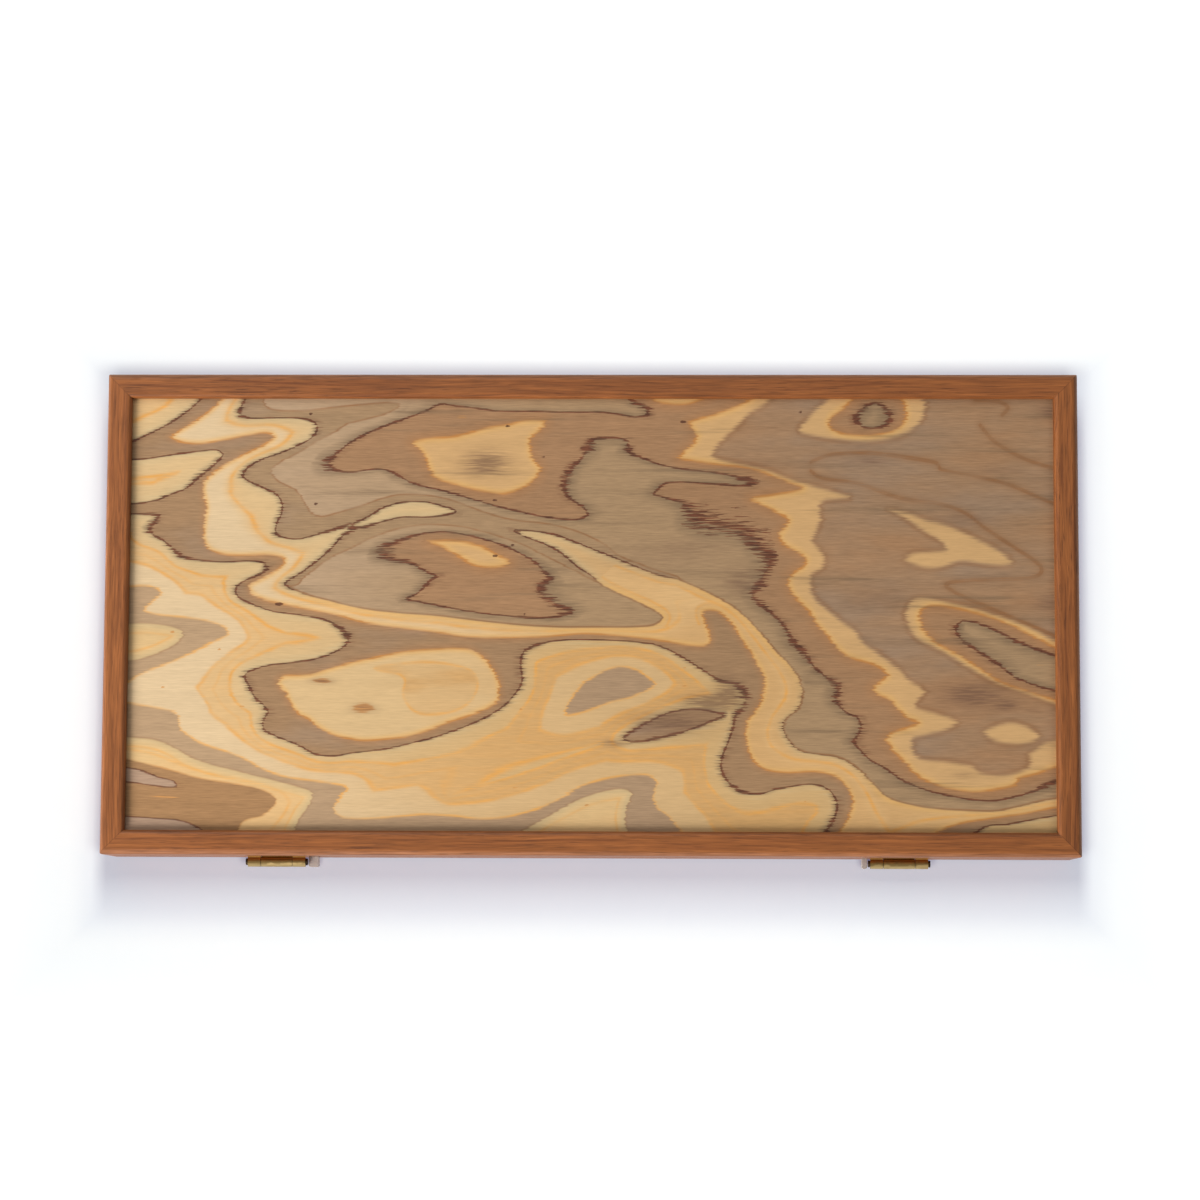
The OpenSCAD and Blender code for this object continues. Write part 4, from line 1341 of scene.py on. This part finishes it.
def barrel_reflections(paint, tarnish):
    """Painted reflections: the wood's amber towards it, olive on top, the bright floor on the outer side."""
    centred = paint.stretch(paint.place, (1000, 1000, 1000), tuple(-1000 * AXIS))
    _, y, _ = paint.parts(centred)
    outward = y / OUTER_SIDE + (tarnish - 0.5) * 0.3
    # Painted reflection: the wood's amber on the inner side, the floor's brightness on the outer side.
    tint = paint.mix(outward.ramp(0.1, -0.6), OLIVE_TOP_REFLECTION, WOOD_REFLECTION_BRASS)
    return paint.mix(outward.ramp(0.1, 0.6) * (1 - tarnish * 0.25), tint, FLOOR_REFLECTION_BRASS)


brass = worn_metal("hinge_brass", barrel_reflections, rough=0.36)
screw_brass = worn_metal("screw_brass", two_tones(colour(206, 172, 98), colour(150, 120, 60)), rough=0.26)
pin_steel = worn_metal("pin_steel", two_tones(colour(74, 60, 46), colour(36, 28, 22)), rough=0.4)
magnet_metal = worn_metal("magnet", two_tones(colour(190, 190, 194), colour(150, 150, 156)), rough=0.22)
for side in ("left", "right"):
    dress(brass, f"{side}_lid_leaf", f"{side}_base_leaf")
    dress(pin_steel, f"{side}_hinge_pin")
for half in ("lid", "base"):
    dress(screw_brass, f"{half}_hinge_screws")
    dress(magnet_metal, f"{half}_magnets")
print("metals painted")

# %% [markdown]
# ## Clear bumpers
#
# Two small clear chips sit beside the hinges and keep the spines apart when the board lies open. They are
# soft plastic: see-through, a little yellow and dusty at the skin.

# %% Paint the bumpers
RUBBER_BENDS_LIGHT = 1.46
DUST_DEPTH = 0.00004


def clear_rubber():
    """Clear plastic, with hazy dust that hides part of it."""
    paint = fresh("clear_rubber")
    dust = paint.noise((700, 700, 700), detail=4)
    haze = paint.node(
        "ShaderNodeBsdfPrincipled",
        inputs={"Base Color": colour(206, 190, 176), "Roughness": 0.5 + 0.3 * dust},
    )
    clear = paint.node(
        "ShaderNodeBsdfPrincipled",
        inputs={
            "Base Color": colour(240, 234, 224),
            "Roughness": 0.18,
            "Transmission Weight": 1.0,
            "IOR": RUBBER_BENDS_LIGHT,
            "Normal": paint.bump(dust, DUST_DEPTH, 0.5),
        },
    )
    return paint.finish(paint.node("ShaderNodeMixShader", inputs={0: 0.35 + 0.3 * dust, 1: clear, 2: haze}))


dress(clear_rubber(), "spine_bumpers")
print("bumpers painted")

# %% [markdown]
# ## Checkers
#
# The checkers are turned from rod, light maple and dark walnut. A turned piece shows the
# grain of the stick it was cut from.

# %% Paint the checkers
light_checker = straight_grain("light_checker", colour(228, 200, 150), colour(204, 168, 112), TURNED, 0.32)
dark_checker = straight_grain("dark_checker", colour(92, 56, 36), colour(56, 34, 24), TURNED, 0.3)
CHECKERS = 15
for number in range(1, CHECKERS + 1):
    dress(light_checker, f"light_checker_{number:02d}")
    dress(dark_checker, f"dark_checker_{number:02d}")
print("checkers painted:", 2 * CHECKERS)

# %% [markdown]
# ## Dice
#
# A die is a tumbled cube of bone-coloured plastic, and its pips are drilled dimples filled with dark paint.
# A round edge is not cut off but worked out: each point of the cube is drawn towards an inner, smaller
# cube and then set out from it again by the radius. The paint needs to know where the dimples are, so the
# mesh stores how deep each point was pressed in.

# %% Build and paint the dice
DIE_SIDE = 0.011
DIE_EDGE = 0.0011
DIE_GAP = 0.006
DIE_TURN = math.radians(25)
PIP_RADIUS = 0.001
PIP_DEPTH = 0.0004
PIP_STEP = DIE_SIDE / 4
FACE_STEPS = 56
# Corners of two faces that lie this near each other become one
WELD_REACH = 0.000001
SCUFF_DEPTH = 0.00001
PIP_PLACES = {
    1: [(0, 0)],
    2: [(-1, -1), (1, 1)],
    3: [(-1, -1), (0, 0), (1, 1)],
    4: [(-1, -1), (-1, 1), (1, -1), (1, 1)],
    5: [(-1, -1), (-1, 1), (0, 0), (1, -1), (1, 1)],
    6: [(-1, -1), (-1, 0), (-1, 1), (1, -1), (1, 0), (1, 1)],
}
# For each count of pips: the outward axis of its face and the two axes along it.
FACES = {
    1: ((0, 0, 1), (1, 0, 0), (0, 1, 0)),
    6: ((0, 0, -1), (0, 1, 0), (1, 0, 0)),
    2: ((0, -1, 0), (1, 0, 0), (0, 0, 1)),
    5: ((0, 1, 0), (0, 0, 1), (1, 0, 0)),
    3: ((1, 0, 0), (0, 1, 0), (0, 0, 1)),
    4: ((-1, 0, 0), (0, 0, 1), (0, 1, 0)),
}


def die_face(count):
    """One face as a grid: round at its rim, and pressed in by a soft bowl at each pip.

    A bowl is depth * (1 - (distance / radius)^2)^1.5 inside its radius.
    """
    half = DIE_SIDE / 2
    outward, right, up = (np.array(axis, float) for axis in FACES[count])
    steps = np.linspace(-half, half, FACE_STEPS)
    a, b = (grid.ravel() for grid in np.meshgrid(steps, steps))
    flat = half * outward + a[:, None] * right + b[:, None] * up
    core = np.clip(flat, DIE_EDGE - half, half - DIE_EDGE)
    away = flat - core
    placed = core + DIE_EDGE * away / np.linalg.norm(away, axis=1)[:, None]
    pressed = np.zeros(len(a))
    for column, row in PIP_PLACES[count]:
        distance = np.hypot(a - column * PIP_STEP, b - row * PIP_STEP) / PIP_RADIUS
        pressed = np.maximum(pressed, np.clip(1 - distance**2, 0, 1) ** 1.5)
    return placed - PIP_DEPTH * pressed[:, None] * outward, pressed


def turned_about(points, axis, angle):
    """Points turned about the x or z axis through the origin."""
    c, s = math.cos(angle), math.sin(angle)
    matrix = {"x": [[1, 0, 0], [0, c, -s], [0, s, c]], "z": [[c, -s, 0], [s, c, 0], [0, 0, 1]]}[axis]
    return points @ np.array(matrix).T


def pair_of_dice():
    """Both dice as one mesh, at the places that the construction gives them."""
    low, high = (np.array(corner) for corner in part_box("dice"))
    squares = grid_squares(FACE_STEPS, FACE_STEPS)
    points, pressed, faces = [], [], []
    for side in (-1, 1):
        centre = (side * (DIE_SIDE / 2 + DIE_GAP), CASE_MIDDLE[1] + side * DIE_GAP, (low[2] + high[2]) / 2)
        for count in FACES:
            shape, depth_share = die_face(count)
            if side > 0:
                shape = turned_about(shape, "x", math.pi / 2)
            faces.append(squares + sum(len(p) for p in points))
            points.append(turned_about(shape, "z", side * DIE_TURN) + centre)
            pressed.append(depth_share)
    mesh = bpy.data.meshes.new("dice_with_pips")
    mesh.from_pydata(np.vstack(points), [], np.vstack(faces).tolist())
    stored = mesh.attributes.new("pressed", "FLOAT", "POINT")
    stored.data.foreach_set("value", np.concatenate(pressed).astype(np.float32))
    weld = bmesh.new()
    weld.from_mesh(mesh)
    bmesh.ops.remove_doubles(weld, verts=weld.verts, dist=WELD_REACH)
    weld.to_mesh(mesh)
    weld.free()
    mesh.polygons.foreach_set("use_smooth", np.ones(len(mesh.polygons), bool))
    return added("dice_with_pips", mesh)


def bone_and_pips():
    """Warm bone-coloured plastic, with dark paint in the dimples."""
    paint = fresh("die")
    pressed = paint.node("ShaderNodeAttribute", {"attribute_name": "pressed"}, out="Fac")
    cloud = paint.noise((260, 260, 260), detail=4)
    scuffs = paint.noise((2600, 2600, 500), detail=3, shift=(4, 2, 8)) - 0.5
    bone = paint.mix(cloud, colour(226, 212, 184), colour(238, 230, 212))
    painted = (pressed + scuffs * 0.2).ramp(0.10, 0.22)
    return paint.surface(
        Base_Color=paint.mix(painted, bone, colour(44, 34, 30)),
        Roughness=0.26 + painted * 0.2 + scuffs * 0.2,
        Normal=paint.bump(0.5 + scuffs, SCUFF_DEPTH, 0.5),
        Specular_IOR_Level=0.45,
    )


dice = pair_of_dice()
dice.data.materials.append(bone_and_pips())
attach(dice, "base")
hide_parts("dice")
print("corners of the dice:", len(dice.data.vertices))

# %% [markdown]
# ## Finish
#
# Last, the view layer is brought up to date.

# %% Finish
bpy.context.view_layer.update()
